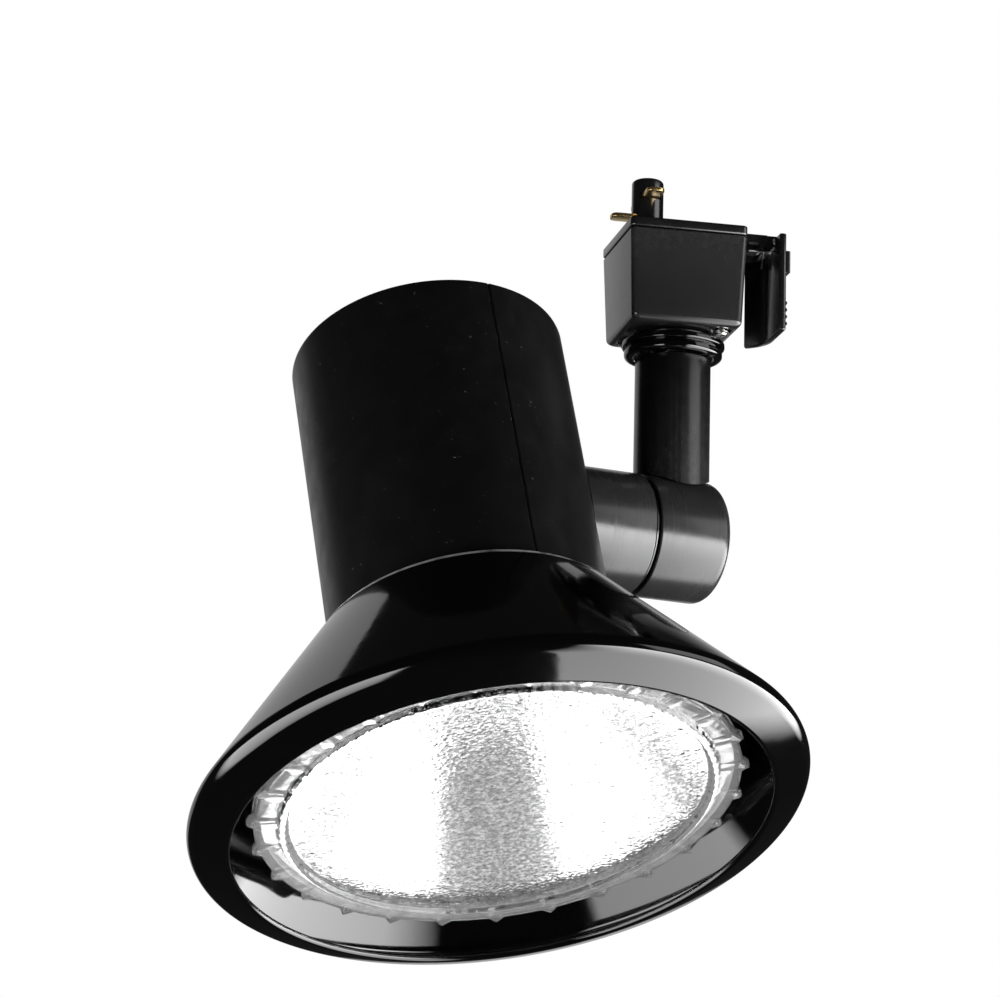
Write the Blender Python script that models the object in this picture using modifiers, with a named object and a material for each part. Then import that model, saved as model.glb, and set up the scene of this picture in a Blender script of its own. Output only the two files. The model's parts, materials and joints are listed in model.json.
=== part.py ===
"""Track spotlight: adapter, latch lever, panning stem, tilting knuckle, cylinder housing, shade, lamp.

Metres, +Z up. The origin is the centre of the adapter's top face, which meets the track, and X runs
along the track. The stem's parts hang from pan_axis and the head's from tilt_axis. head_axis has its Z
up the cylinder with zero at the shade's mouth, so a head profile is a list of (radius, height) points.
"""

import math

import bmesh
import bpy

MM = 0.001
GAP = 0.3 * MM  # clearance between pieces that touch

# How the fixture is aimed
PAN = math.radians(13.0)
TILT = math.radians(22.8)

# Adapter
BOX_TOP = (12.7 * MM, 12.9 * MM)  # half width and half depth at the track
BOX_BOTTOM = (11.9 * MM, 12.0 * MM)
BOX_FLOOR_Z = -22.0 * MM
BOX_WALL = 1.5 * MM
COVER_THICKNESS = 2.0 * MM
BOX_EDGE = 1.4 * MM
POST_X = -6.1 * MM
POST_NECK_R = 3.4 * MM
POST_TOP_Z = 12.0 * MM
BLADE_Z = 8.0 * MM
GROUND_Z = 3.6 * MM
BLADE_WIDTH = 3.8 * MM
BLADE_THICKNESS = 0.8 * MM
BLADE_REACH = 8.0 * MM  # how far a blade's tip is from the post's axis
BLADE_ROOT = 2.0 * MM
BOX_SCREW_SPOTS = ((8.3 * MM, -7.7 * MM), (-8.3 * MM, 7.7 * MM))

# Latch lever, on a pin that runs along Y
LEVER_PIN = (20.2 * MM, 0.0, -1.45 * MM)
LEVER_THICKNESS = 1.5 * MM
LEVER_MID_X = 20.6 * MM
LEVER_FRONT_Y = -12.0 * MM
LEVER_BEND_Y = -2.0 * MM
LEVER_BEND_R = 7.0 * MM
LEVER_BEND_ANGLE = math.radians(62.0)
LEVER_TOP_Z = -0.6 * MM
LEVER_BOTTOM_Z = -21.8 * MM
EAR_Z = -2.7 * MM
EAR_Y = (5.0 * MM, 8.0 * MM)

# Stem
STEM_R = 8.0 * MM
NIPPLE_R = 4.6 * MM
NIPPLE_BORE_R = 3.0 * MM
NIPPLE_TOP_Z = -13.5 * MM
FLANGE_R = 10.9 * MM
FLANGE_TOP_Z = -23.4 * MM
FLANGE_BOTTOM_Z = -27.0 * MM
PIVOT_Z = -66.0 * MM
LEAD_R = 1.5 * MM
NUT_THICKNESS = 2.8 * MM

# Knuckle, along the tilt axis; its zero is the stem's centre line
KNUCKLE_R = 12.8 * MM
KNUCKLE_END = 8.7 * MM
KNUCKLE_SEAM = -9.1 * MM
HEAD_OFFSET = 50.3 * MM  # from the stem's centre line to the cylinder's
PIVOT_HEIGHT = 74.8 * MM  # above the shade's mouth

# Head, as radii and heights above the shade's mouth
CYLINDER_R = 28.4 * MM
CYLINDER_WALL = 1.2 * MM
CYLINDER_TOP = 112.3 * MM
SHADE_TOP = 44.9 * MM
SHADE_TOP_R = 31.0 * MM
SHADE_MAX_R = 60.7 * MM
SHADE_MAX_HEIGHT = 4.85 * MM
SHADE_MOUTH_R = 52.6 * MM
SHADE_WALL = 1.0 * MM
SHOULDER_ROUND = 2.0 * MM
CREASE_ROUND = 2.6 * MM
CAP_TOP = 110.7 * MM
CAP_THICKNESS = 1.2 * MM
VENT_COUNT = 6
VENT_R = 2.5 * MM
VENT_CIRCLE_R = 20.0 * MM
SOCKET_R = 16.5 * MM
SOCKET_MOUTH = 71.4 * MM
SOCKET_TOP = 105.0 * MM
CAP_SCREW_ANGLES = (60.0, 120.0)
CAP_SCREW_HEIGHT = 107.4 * MM
SOCKET_SCREW_Y = 6.0 * MM
BRACKET_SCREW_Y = 13.5 * MM

# Lamp, a 95 mm parabolic reflector lamp with a short neck and a 26 mm screw base
LAMP_R = 47.6 * MM
LAMP_RIM_TOP = 12.0 * MM
LAMP_THROAT_R = 26.0 * MM  # radius of the reflector at LAMP_THROAT_HEIGHT
LAMP_THROAT_HEIGHT = 43.0 * MM
LAMP_WALL = 1.8 * MM
BASE_R = 13.2 * MM
LAMP_TIP = 98.1 * MM

ROUND = 56  # facets of the large turned pieces
SMALL_ROUND = 24
TINY_ROUND = 12
HEX_SIDES = 6
SHARP_ANGLE = math.radians(40.0)


def clear_scene():
    for obj in list(bpy.data.objects):
        bpy.data.objects.remove(obj)


def new_collection(name):
    collection = bpy.data.collections.new(name)
    bpy.context.scene.collection.children.link(collection)
    return collection


def new_material(name, colour, roughness, metallic=0.0):
    material = bpy.data.materials.new(name)
    material.use_nodes = True
    shader = material.node_tree.nodes["Principled BSDF"]
    shader.inputs["Base Color"].default_value = (*colour, 1.0)
    shader.inputs["Roughness"].default_value = roughness
    shader.inputs["Metallic"].default_value = metallic
    return material


def new_empty(name, location, rotation=(0, 0, 0), parent=None):
    empty = bpy.data.objects.new(name, None)
    PARTS.objects.link(empty)
    empty.parent = parent
    empty.location = location
    empty.rotation_euler = rotation
    return empty


def place(obj, location=(0, 0, 0), rotation=(0, 0, 0), parent=None):
    obj.parent = parent
    obj.location = location
    obj.rotation_euler = rotation
    return obj


def new_part(name, data, material):
    obj = bpy.data.objects.new(name, data)
    PARTS.objects.link(obj)
    data.materials.append(material)
    return obj


def new_cutter(name, mesh):
    obj = bpy.data.objects.new(name, mesh)
    CUTTERS.objects.link(obj)
    obj.hide_render = True
    obj.display_type = "WIRE"
    return obj


def combine(obj, other, operation="DIFFERENCE"):
    modifier = obj.modifiers.new(operation.lower(), "BOOLEAN")
    modifier.operation = operation
    modifier.solver = "EXACT"
    modifier.object = other


def bevel(obj, width, segments=2, angle=40.0):
    modifier = obj.modifiers.new("bevel", "BEVEL")
    modifier.width = width
    modifier.segments = segments
    modifier.angle_limit = math.radians(angle)


def arc(centre, radius, start, end, count):
    """count points of an arc about centre, from start to end in degrees."""
    angles = [math.radians(start + (end - start) * i / (count - 1)) for i in range(count)]
    return [(centre[0] + radius * math.cos(a), centre[1] + radius * math.sin(a)) for a in angles]


def profile_mesh(name, profile, closed):
    """The (radius, height) points as a line of edges in the XZ plane."""
    count = len(profile)
    edges = [(i, i + 1) for i in range(count - 1)] + ([(count - 1, 0)] if closed else [])
    mesh = bpy.data.meshes.new(name)
    mesh.from_pydata([(r, 0, z) for r, z in profile], edges, [])
    return mesh


def turn(obj, steps):
    screw = obj.modifiers.new("turn", "SCREW")
    screw.steps = screw.render_steps = steps
    screw.use_merge_vertices = True
    screw.merge_threshold = 1e-6
    screw.use_smooth_shade = True
    obj.modifiers.new("shading", "WEIGHTED_NORMAL")  # keeps flat faces flat beside round ones


def turned(name, profile, material, steps=SMALL_ROUND):
    """A solid of revolution: a ring if the profile stays off the axis, else solid from end to end."""
    obj = new_part(name, profile_mesh(name, profile, closed=profile[0][0] > 0), material)
    turn(obj, steps)
    return obj


def tube_profile(inner, outer, low, high):
    return [(outer, high), (outer, low), (inner, low), (inner, high)]


def box_mesh(name, low, high, bottom_scale=(1.0, 1.0)):
    """A box between two corners; bottom_scale narrows its lower face."""
    mesh = bpy.data.meshes.new(name)
    bm = bmesh.new()
    bmesh.ops.create_cube(bm, size=1.0)
    for vert in bm.verts:
        scale = bottom_scale if vert.co.z < 0 else (1.0, 1.0)
        for i in range(3):
            centre = (low[i] + high[i]) / 2
            half = (high[i] - low[i]) / 2 * (scale[i] if i < 2 else 1.0)
            vert.co[i] = centre + math.copysign(half, vert.co[i])
    bm.to_mesh(mesh)
    bm.free()
    return mesh


def rod_mesh(name, radius, length, sides=SMALL_ROUND):
    """A cylinder or prism about its own Z, centred on its origin."""
    mesh = bpy.data.meshes.new(name)
    bm = bmesh.new()
    bmesh.ops.create_cone(
        bm, cap_ends=True, segments=sides, radius1=radius, radius2=radius, depth=length
    )
    bm.to_mesh(mesh)
    bm.free()
    if sides > HEX_SIDES:
        mesh.shade_smooth()
        mesh.set_sharp_from_angle(angle=SHARP_ANGLE)
    return mesh


def hole(obj, radius, length, location, rotation=(0, 0, 0), sides=SMALL_ROUND):
    """Drills obj, in the frame of obj's parent."""
    cutter = new_cutter(obj.name + "_hole", rod_mesh("hole", radius, length, sides))
    place(cutter, location, rotation, obj.parent)
    combine(obj, cutter)


def join_box(obj, low, high):
    joined = new_cutter(obj.name + "_block", box_mesh("block", low, high))
    place(joined, parent=obj.parent)
    combine(obj, joined, "UNION")


def cut_box(obj, low, high):
    cutter = new_cutter(obj.name + "_pocket", box_mesh("pocket", low, high))
    place(cutter, parent=obj.parent)
    combine(obj, cutter)


def lead(name, route, material, radius=LEAD_R, parent=None):
    curve = bpy.data.curves.new(name, "CURVE")
    curve.dimensions = "3D"
    curve.bevel_depth = radius
    curve.bevel_resolution = 2
    curve.use_fill_caps = True
    spline = curve.splines.new("POLY")
    spline.points.add(len(route) - 1)
    for point, spot in zip(spline.points, route):
        point.co = (*spot, 1.0)
    return place(new_part(name, curve, material), parent=parent)


def pan_head_screw(name, head_r, head_height, shank_r, length, material):
    """Head above the origin, shank below it."""
    profile = [
        (0, head_height),
        (head_r * 0.7, head_height),
        (head_r, head_height * 0.45),
        (head_r, 0),
        (shank_r, 0),
        (shank_r, -length),
        (0, -length),
    ]
    return turned(name, profile, material, TINY_ROUND)


def hex_nut(name, across_flats, thickness, bore_r, material, location, rotation, parent):
    mesh = rod_mesh(name, across_flats / math.sqrt(3), thickness, sides=HEX_SIDES)
    nut = place(new_part(name, mesh, material), location, rotation, parent)
    hole(nut, bore_r, thickness * 2, location, rotation)
    return nut


# Adapter


def adapter_housing(material):
    top_z = -COVER_THICKNESS - GAP
    taper = tuple(b / t for b, t in zip(BOX_BOTTOM, BOX_TOP))
    low = (-BOX_TOP[0], -BOX_TOP[1], BOX_FLOOR_Z)
    high = (BOX_TOP[0], BOX_TOP[1], top_z)
    housing = new_part("adapter_housing", box_mesh("adapter_housing", low, high, taper), material)
    bevel(housing, BOX_EDGE, 3)
    inner_low = (-BOX_TOP[0] + BOX_WALL, -BOX_TOP[1] + BOX_WALL, BOX_FLOOR_Z + 2 * MM)
    inner_high = (BOX_TOP[0] - BOX_WALL, BOX_TOP[1] - BOX_WALL, 4 * MM)
    cavity = new_cutter("adapter_cavity", box_mesh("adapter_cavity", inner_low, inner_high, taper))
    combine(housing, cavity)
    column_top = -6.4 * MM
    column_low = BOX_FLOOR_Z + 1 * MM
    for x, y in BOX_SCREW_SPOTS:
        column = new_cutter("column", rod_mesh("column", 2.1 * MM, column_top - column_low))
        place(column, (x, y, (column_top + column_low) / 2))
        combine(housing, column, "UNION")
        hole(housing, 1.25 * MM, 40 * MM, (x, y, BOX_FLOOR_Z), sides=TINY_ROUND)
    hole(housing, 5.8 * MM, 10 * MM, (0, 0, BOX_FLOOR_Z))
    return housing


def adapter_cover(material):
    half_x, half_y = BOX_TOP
    low, high = (-half_x, -half_y, -COVER_THICKNESS), (half_x, half_y, 0)
    cover = new_part("adapter_cover", box_mesh("adapter_cover", low, high), material)
    tongue_end = LEVER_PIN[0] - 2.0 * MM
    tongue_low = 0.1 * MM - COVER_THICKNESS
    join_box(cover, (half_x - 3 * MM, -EAR_Y[1], tongue_low), (tongue_end, EAR_Y[1], -0.15 * MM))
    for side in (-1, 1):
        near, far = sorted((side * EAR_Y[0], side * EAR_Y[1]))
        ear_end = LEVER_PIN[0] + 1.2 * MM
        join_box(cover, (tongue_end - 1 * MM, near, EAR_Z), (ear_end, far, -0.25 * MM))
    hole(cover, 0.9 * MM, 30 * MM, LEVER_PIN, (math.pi / 2, 0, 0), TINY_ROUND)
    hole(cover, POST_NECK_R + GAP, 20 * MM, (POST_X, 0, 0))
    for x, y in BOX_SCREW_SPOTS:
        boss = new_cutter("boss", rod_mesh("boss", 2.0 * MM, 5 * MM))
        place(boss, (x, y, -3.5 * MM))
        combine(cover, boss, "UNION")
        hole(cover, 1.2 * MM, 6 * MM, (x, y, -4.5 * MM), sides=TINY_ROUND)
    return cover


def contact_post(material):
    flange_r, under_cover = 4.6 * MM, -COVER_THICKNESS - GAP
    profile = [
        (0, POST_TOP_Z),
        (POST_NECK_R - 0.8 * MM, POST_TOP_Z),
        (POST_NECK_R, POST_TOP_Z - 0.8 * MM),
        (POST_NECK_R, under_cover),
        (flange_r, under_cover),
        (flange_r, under_cover - 2.3 * MM),
        (0, under_cover - 2.3 * MM),
    ]
    post = place(turned("contact_post", profile, material), (POST_X, 0, 0))
    half_w, half_t = BLADE_WIDTH / 2 + GAP, BLADE_THICKNESS / 2 + GAP
    root, far = BLADE_ROOT - GAP, POST_NECK_R + 2 * MM
    for side in (-1, 1):
        near_y, far_y = sorted((side * root, side * far))
        low = (POST_X - half_w, near_y, BLADE_Z - half_t)
        high = (POST_X + half_w, far_y, BLADE_Z + half_t)
        cut_box(post, low, high)
    low = (POST_X - far, -half_w, GROUND_Z - half_t)
    high = (POST_X - root, half_w, GROUND_Z + half_t)
    cut_box(post, low, high)
    return post


def contact_blade(name, angle, height, material):
    """A blade that sticks out of the post, at angle degrees about it from +X."""
    low = (BLADE_ROOT, -BLADE_WIDTH / 2, -BLADE_THICKNESS / 2)
    high = (BLADE_REACH, BLADE_WIDTH / 2, BLADE_THICKNESS / 2)
    blade = new_part(name, box_mesh(name, low, high), material)
    return place(blade, (POST_X, 0, height), (0, 0, math.radians(angle)))


def housing_screws(material):
    for i, (x, y) in enumerate(BOX_SCREW_SPOTS):
        name = f"housing_screw_{i + 1}"
        screw = pan_head_screw(name, 1.7 * MM, 0.8 * MM, 0.9 * MM, 18 * MM, material)
        place(screw, (x, y, BOX_FLOOR_Z - GAP), (math.pi, 0, 0))


def lever_plan():
    """The lever's middle line from above: straight along the box, then curling in behind it."""
    centre = (LEVER_MID_X - LEVER_BEND_R, LEVER_BEND_Y)
    bend = arc(centre, LEVER_BEND_R, 0, math.degrees(LEVER_BEND_ANGLE), 7)
    return [(LEVER_MID_X, LEVER_FRONT_Y)] + bend


def latch_lever(material):
    pin_x, _, pin_z = LEVER_PIN
    axis = new_empty("lever_axis", LEVER_PIN)
    mesh = bpy.data.meshes.new("latch_lever")
    bm = bmesh.new()
    foot = [bm.verts.new((x - pin_x, y, LEVER_BOTTOM_Z - pin_z)) for x, y in lever_plan()]
    edges = [bm.edges.new(pair) for pair in zip(foot, foot[1:])]
    raised = bmesh.ops.extrude_edge_only(bm, edges=edges)["geom"]
    top = [item for item in raised if isinstance(item, bmesh.types.BMVert)]
    bmesh.ops.translate(bm, vec=(0, 0, LEVER_TOP_Z - LEVER_BOTTOM_Z), verts=top)
    bm.to_mesh(mesh)
    bm.free()
    lever = place(new_part("latch_lever", mesh, material), parent=axis)
    shell = lever.modifiers.new("thickness", "SOLIDIFY")
    shell.thickness = LEVER_THICKNESS
    shell.offset = 0.0
    window_top = LEVER_TOP_Z - pin_z + 1 * MM
    window_low = (-9 * MM, -EAR_Y[1] - GAP, EAR_Z - pin_z - 0.4 * MM)
    cut_box(lever, window_low, (3 * MM, 12 * MM, window_top))
    half_t = LEVER_THICKNESS / 2
    plate_x = LEVER_MID_X - pin_x
    join_box(lever, (plate_x - half_t, -0.9 * MM, -4 * MM), (plate_x + half_t, 1.5 * MM, 0))
    barrel = new_cutter("lever_barrel", rod_mesh("lever_barrel", 1.2 * MM, 5.6 * MM, TINY_ROUND))
    place(barrel, (0, 1.85 * MM, 0), (math.pi / 2, 0, 0), axis)
    combine(lever, barrel, "UNION")
    rib_low = (plate_x + half_t - 0.5 * MM, LEVER_FRONT_Y + 0.1 * MM, -7.6 * MM)
    rib_high = (plate_x + half_t + 0.9 * MM, -7 * MM, -3 * MM)
    join_box(lever, rib_low, rib_high)
    hole(lever, 0.9 * MM, 6.2 * MM, (0, 1.85 * MM, 0), (math.pi / 2, 0, 0), TINY_ROUND)
    return lever


def lever_spring(material):
    """Torsion spring round the pin; one leg lies under the tongue, the other hangs beside the lever."""
    coil_r, turns, per_turn, pitch = 1.15 * MM, 2.8, 10, 0.85 * MM
    start_y, count = -4.5 * MM, int(turns * per_turn)
    coil = []
    for i in range(count + 1):
        angle = -math.pi / 2 + 2 * math.pi * i / per_turn
        y = start_y + pitch * i / per_turn
        coil.append((coil_r * math.cos(angle), y, coil_r * math.sin(angle)))
    first, last = coil[0], coil[-1]
    tongue_leg = [(first[0] - 5 * MM, first[1], -1.3 * MM)]
    lever_leg = [(-1.5 * MM, last[1], -4.5 * MM)]
    route = tongue_leg + coil + lever_leg
    spring = lead("lever_spring", route, material, radius=0.2 * MM)
    spring.data.bevel_resolution = 0
    return place(spring, LEVER_PIN)


# Stem


def stem_parts(steel, black, nylon, plastic, brass, satin, sleeving, gunmetal, pan_axis):
    floor_top = BOX_FLOOR_Z + 2 * MM
    clear_r = NIPPLE_R + GAP
    bushing_profile = [
        (7.4 * MM, floor_top + 1.1 * MM),
        (7.4 * MM, floor_top + GAP),
        (5.5 * MM, floor_top + GAP),
        (5.5 * MM, BOX_FLOOR_Z),
        (clear_r, BOX_FLOOR_Z),
        (clear_r, floor_top + 1.1 * MM),
    ]
    turned("stem_bushing", bushing_profile, nylon)
    washer_low = floor_top + 1.4 * MM
    washer_profile = tube_profile(clear_r, 7.2 * MM, washer_low, washer_low + 0.8 * MM)
    place(turned("stem_washer", washer_profile, steel), parent=pan_axis)
    nut_spot = (0, 0, washer_low + 1.1 * MM + NUT_THICKNESS / 2)
    hex_nut("stem_nut", 13 * MM, NUT_THICKNESS, clear_r, brass, nut_spot, (0, 0, 0), pan_axis)

    seal = tube_profile(clear_r, 8.6 * MM, FLANGE_TOP_Z + GAP, BOX_FLOOR_Z - GAP)
    place(turned("swivel_washer", seal, plastic), parent=pan_axis)
    lower_r, waist_z = FLANGE_R - 0.5 * MM, FLANGE_TOP_Z - 1.4 * MM
    flange_profile = [
        (FLANGE_R - 0.4 * MM, FLANGE_TOP_Z),
        (FLANGE_R, FLANGE_TOP_Z - 0.4 * MM),
        (FLANGE_R, waist_z + 0.3 * MM),
        (FLANGE_R - 1.0 * MM, waist_z),
        (FLANGE_R - 1.0 * MM, waist_z - 0.3 * MM),
        (lower_r, waist_z - 0.6 * MM),
        (lower_r, FLANGE_BOTTOM_Z + 0.7 * MM),
        (lower_r - 0.8 * MM, FLANGE_BOTTOM_Z),
        (clear_r, FLANGE_BOTTOM_Z),
        (clear_r, FLANGE_TOP_Z),
    ]
    place(turned("swivel_flange", flange_profile, black, 40), parent=pan_axis)

    sleeve_profile = tube_profile(clear_r, STEM_R, PIVOT_Z, FLANGE_BOTTOM_Z - GAP)
    sleeve = place(turned("stem_sleeve", sleeve_profile, satin, 32), parent=pan_axis)
    hole(sleeve, KNUCKLE_R + GAP, 4 * STEM_R, (0, 0, PIVOT_Z), (0, math.pi / 2, 0), 40)
    rod = tube_profile(NIPPLE_BORE_R, NIPPLE_R, PIVOT_Z + 5 * MM, NIPPLE_TOP_Z)
    place(turned("threaded_nipple", rod, steel), parent=pan_axis)

    bend_r = 5 * MM
    bend = arc((-bend_r, PIVOT_Z + bend_r), bend_r, 0, -90, 6)
    route = [(0, 0, NIPPLE_TOP_Z + GAP), (0, 0, -40 * MM)] + [(x, 0, z) for x, z in bend]
    lead("stem_lead", route + [(-29.0 * MM, 0, PIVOT_Z)], sleeving, parent=pan_axis)

    knuckle_axis = new_empty("knuckle_axis", (0, 0, PIVOT_Z), parent=pan_axis)
    along = (0, math.pi / 2, 0)
    seam_face = KNUCKLE_SEAM + 0.5 * MM
    outer_profile = [
        (0, KNUCKLE_END),
        (KNUCKLE_R * 0.5, KNUCKLE_END - 0.2 * MM),
        *arc((KNUCKLE_R - 2.2 * MM, KNUCKLE_END - 2.9 * MM), 2.2 * MM, 78, 0, 5),
        (KNUCKLE_R, seam_face + 0.4 * MM),
        (KNUCKLE_R - 0.4 * MM, seam_face),
        (0, seam_face),
    ]
    outer = turned("knuckle_outer", outer_profile, gunmetal, 40)
    place(outer, rotation=along, parent=knuckle_axis)
    hole(outer, clear_r, 20 * MM, (-5 * MM, 0, 0), along)
    hole(outer, clear_r, 20 * MM, (0, 0, 10 * MM))
    friction = tube_profile(clear_r, KNUCKLE_R - 0.7 * MM, seam_face - 0.7 * MM, seam_face - GAP)
    place(turned("friction_washer", friction, plastic, 32), rotation=along, parent=knuckle_axis)
    pivot_tip = -HEAD_OFFSET + 21.9 * MM
    pivot = tube_profile(NIPPLE_BORE_R, NIPPLE_R, pivot_tip, -5.5 * MM)
    place(turned("pivot_nipple", pivot, steel), rotation=along, parent=knuckle_axis)
    inside = -HEAD_OFFSET + CYLINDER_R - CYLINDER_WALL - 1.5 * MM  # clear of the cylinder's curved wall
    spring_washer = tube_profile(clear_r, 7.4 * MM, inside - 0.8 * MM, inside)
    place(turned("pivot_washer", spring_washer, steel), rotation=along, parent=knuckle_axis)
    nut_x = inside - 0.8 * MM - GAP - NUT_THICKNESS / 2
    hex_nut("pivot_nut", 12 * MM, NUT_THICKNESS, clear_r, brass, (nut_x, 0, 0), along, knuckle_axis)


# Head


def knuckle_inner(material, tilt_axis):
    along = (0, math.pi / 2, 0)
    seam_face = KNUCKLE_SEAM - 0.5 * MM
    profile = [
        (KNUCKLE_R - 0.4 * MM, seam_face),
        (KNUCKLE_R, seam_face - 0.4 * MM),
        (KNUCKLE_R, -HEAD_OFFSET + CYLINDER_R - 6 * MM),
        (NIPPLE_R + GAP, -HEAD_OFFSET + CYLINDER_R - 6 * MM),
        (NIPPLE_R + GAP, seam_face),
    ]
    knuckle = turned("knuckle_inner", profile, material, 40)
    place(knuckle, rotation=along, parent=tilt_axis)
    hole(knuckle, CYLINDER_R + GAP, 60 * MM, (-HEAD_OFFSET, 0, 0), sides=ROUND)
    return knuckle


def cylinder_housing(material, head_axis):
    inner = CYLINDER_R - CYLINDER_WALL
    lip_top, lip_bottom, lip_r = SHADE_TOP - 1.5 * MM, SHADE_TOP - 2.6 * MM, 29.8 * MM
    profile = [
        (CYLINDER_R - 0.3 * MM, CYLINDER_TOP),
        (CYLINDER_R, CYLINDER_TOP - 0.3 * MM),
        (CYLINDER_R, lip_top),
        (lip_r, lip_top),
        (lip_r, lip_bottom),
        (inner, lip_bottom),
        (inner, CYLINDER_TOP),
    ]
    cylinder = place(turned("cylinder_housing", profile, material, ROUND), parent=head_axis)
    hole(cylinder, NIPPLE_R + GAP, 20 * MM, (CYLINDER_R, 0, PIVOT_HEIGHT), (0, math.pi / 2, 0))
    drill_radial(cylinder, 1.2 * MM)
    return cylinder


def radial_place(radius, degrees):
    angle = math.radians(degrees)
    return (radius * math.cos(angle), radius * math.sin(angle), CAP_SCREW_HEIGHT), (0, math.pi / 2, angle)


def drill_radial(obj, radius):
    for degrees in CAP_SCREW_ANGLES:
        location, rotation = radial_place(CYLINDER_R, degrees)
        hole(obj, radius, 12 * MM, location, rotation, TINY_ROUND)


def back_cap(material, head_axis):
    rim_r = CYLINDER_R - CYLINDER_WALL - GAP
    underside = CAP_TOP - CAP_THICKNESS
    profile = [
        (0, CAP_TOP),
        (rim_r - 0.5 * MM, CAP_TOP),
        (rim_r, CAP_TOP - 0.5 * MM),
        (rim_r, underside - 4 * MM),
        (rim_r - CAP_THICKNESS, underside - 4 * MM),
        (rim_r - CAP_THICKNESS, underside),
        (0, underside),
    ]
    cap = place(turned("back_cap", profile, material, ROUND), parent=head_axis)
    for i in range(VENT_COUNT):
        angle = 2 * math.pi * i / VENT_COUNT
        spot = (VENT_CIRCLE_R * math.cos(angle), VENT_CIRCLE_R * math.sin(angle), CAP_TOP)
        hole(cap, VENT_R, 10 * MM, spot, sides=TINY_ROUND)
    for side in (-1, 1):
        hole(cap, 1.4 * MM, 10 * MM, (0, side * BRACKET_SCREW_Y, CAP_TOP), sides=TINY_ROUND)
    drill_radial(cap, 1.2 * MM)
    return cap


def shade_outline():
    """Outer surface from the collar round the cylinder, down the cone and in to the mouth."""
    run, drop = SHADE_MAX_R - SHADE_TOP_R, SHADE_TOP - SHADE_MAX_HEIGHT
    cone_normal = math.degrees(math.atan2(run, drop))  # above the horizontal
    shoulder = (SHADE_TOP_R - SHOULDER_ROUND * 0.75, SHADE_TOP - SHOULDER_ROUND)
    crease = (SHADE_MAX_R - CREASE_ROUND, SHADE_MAX_HEIGHT)
    band_normal = -52.0
    return [
        (CYLINDER_R + GAP, SHADE_TOP),
        *arc(shoulder, SHOULDER_ROUND, 90, cone_normal, 4),
        *arc(crease, CREASE_ROUND, cone_normal, band_normal, 6),
        (SHADE_MOUTH_R + 1.2 * MM, 0.3 * MM),
        (SHADE_MOUTH_R, 0),
    ]


def shade(material, head_axis):
    obj = new_part("shade", profile_mesh("shade", shade_outline(), closed=False), material)
    place(obj, parent=head_axis)
    turn(obj, ROUND)
    wall = obj.modifiers.new("wall", "SOLIDIFY")
    wall.thickness = SHADE_WALL
    wall.offset = -1.0
    wall.use_even_offset = True
    return obj


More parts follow.
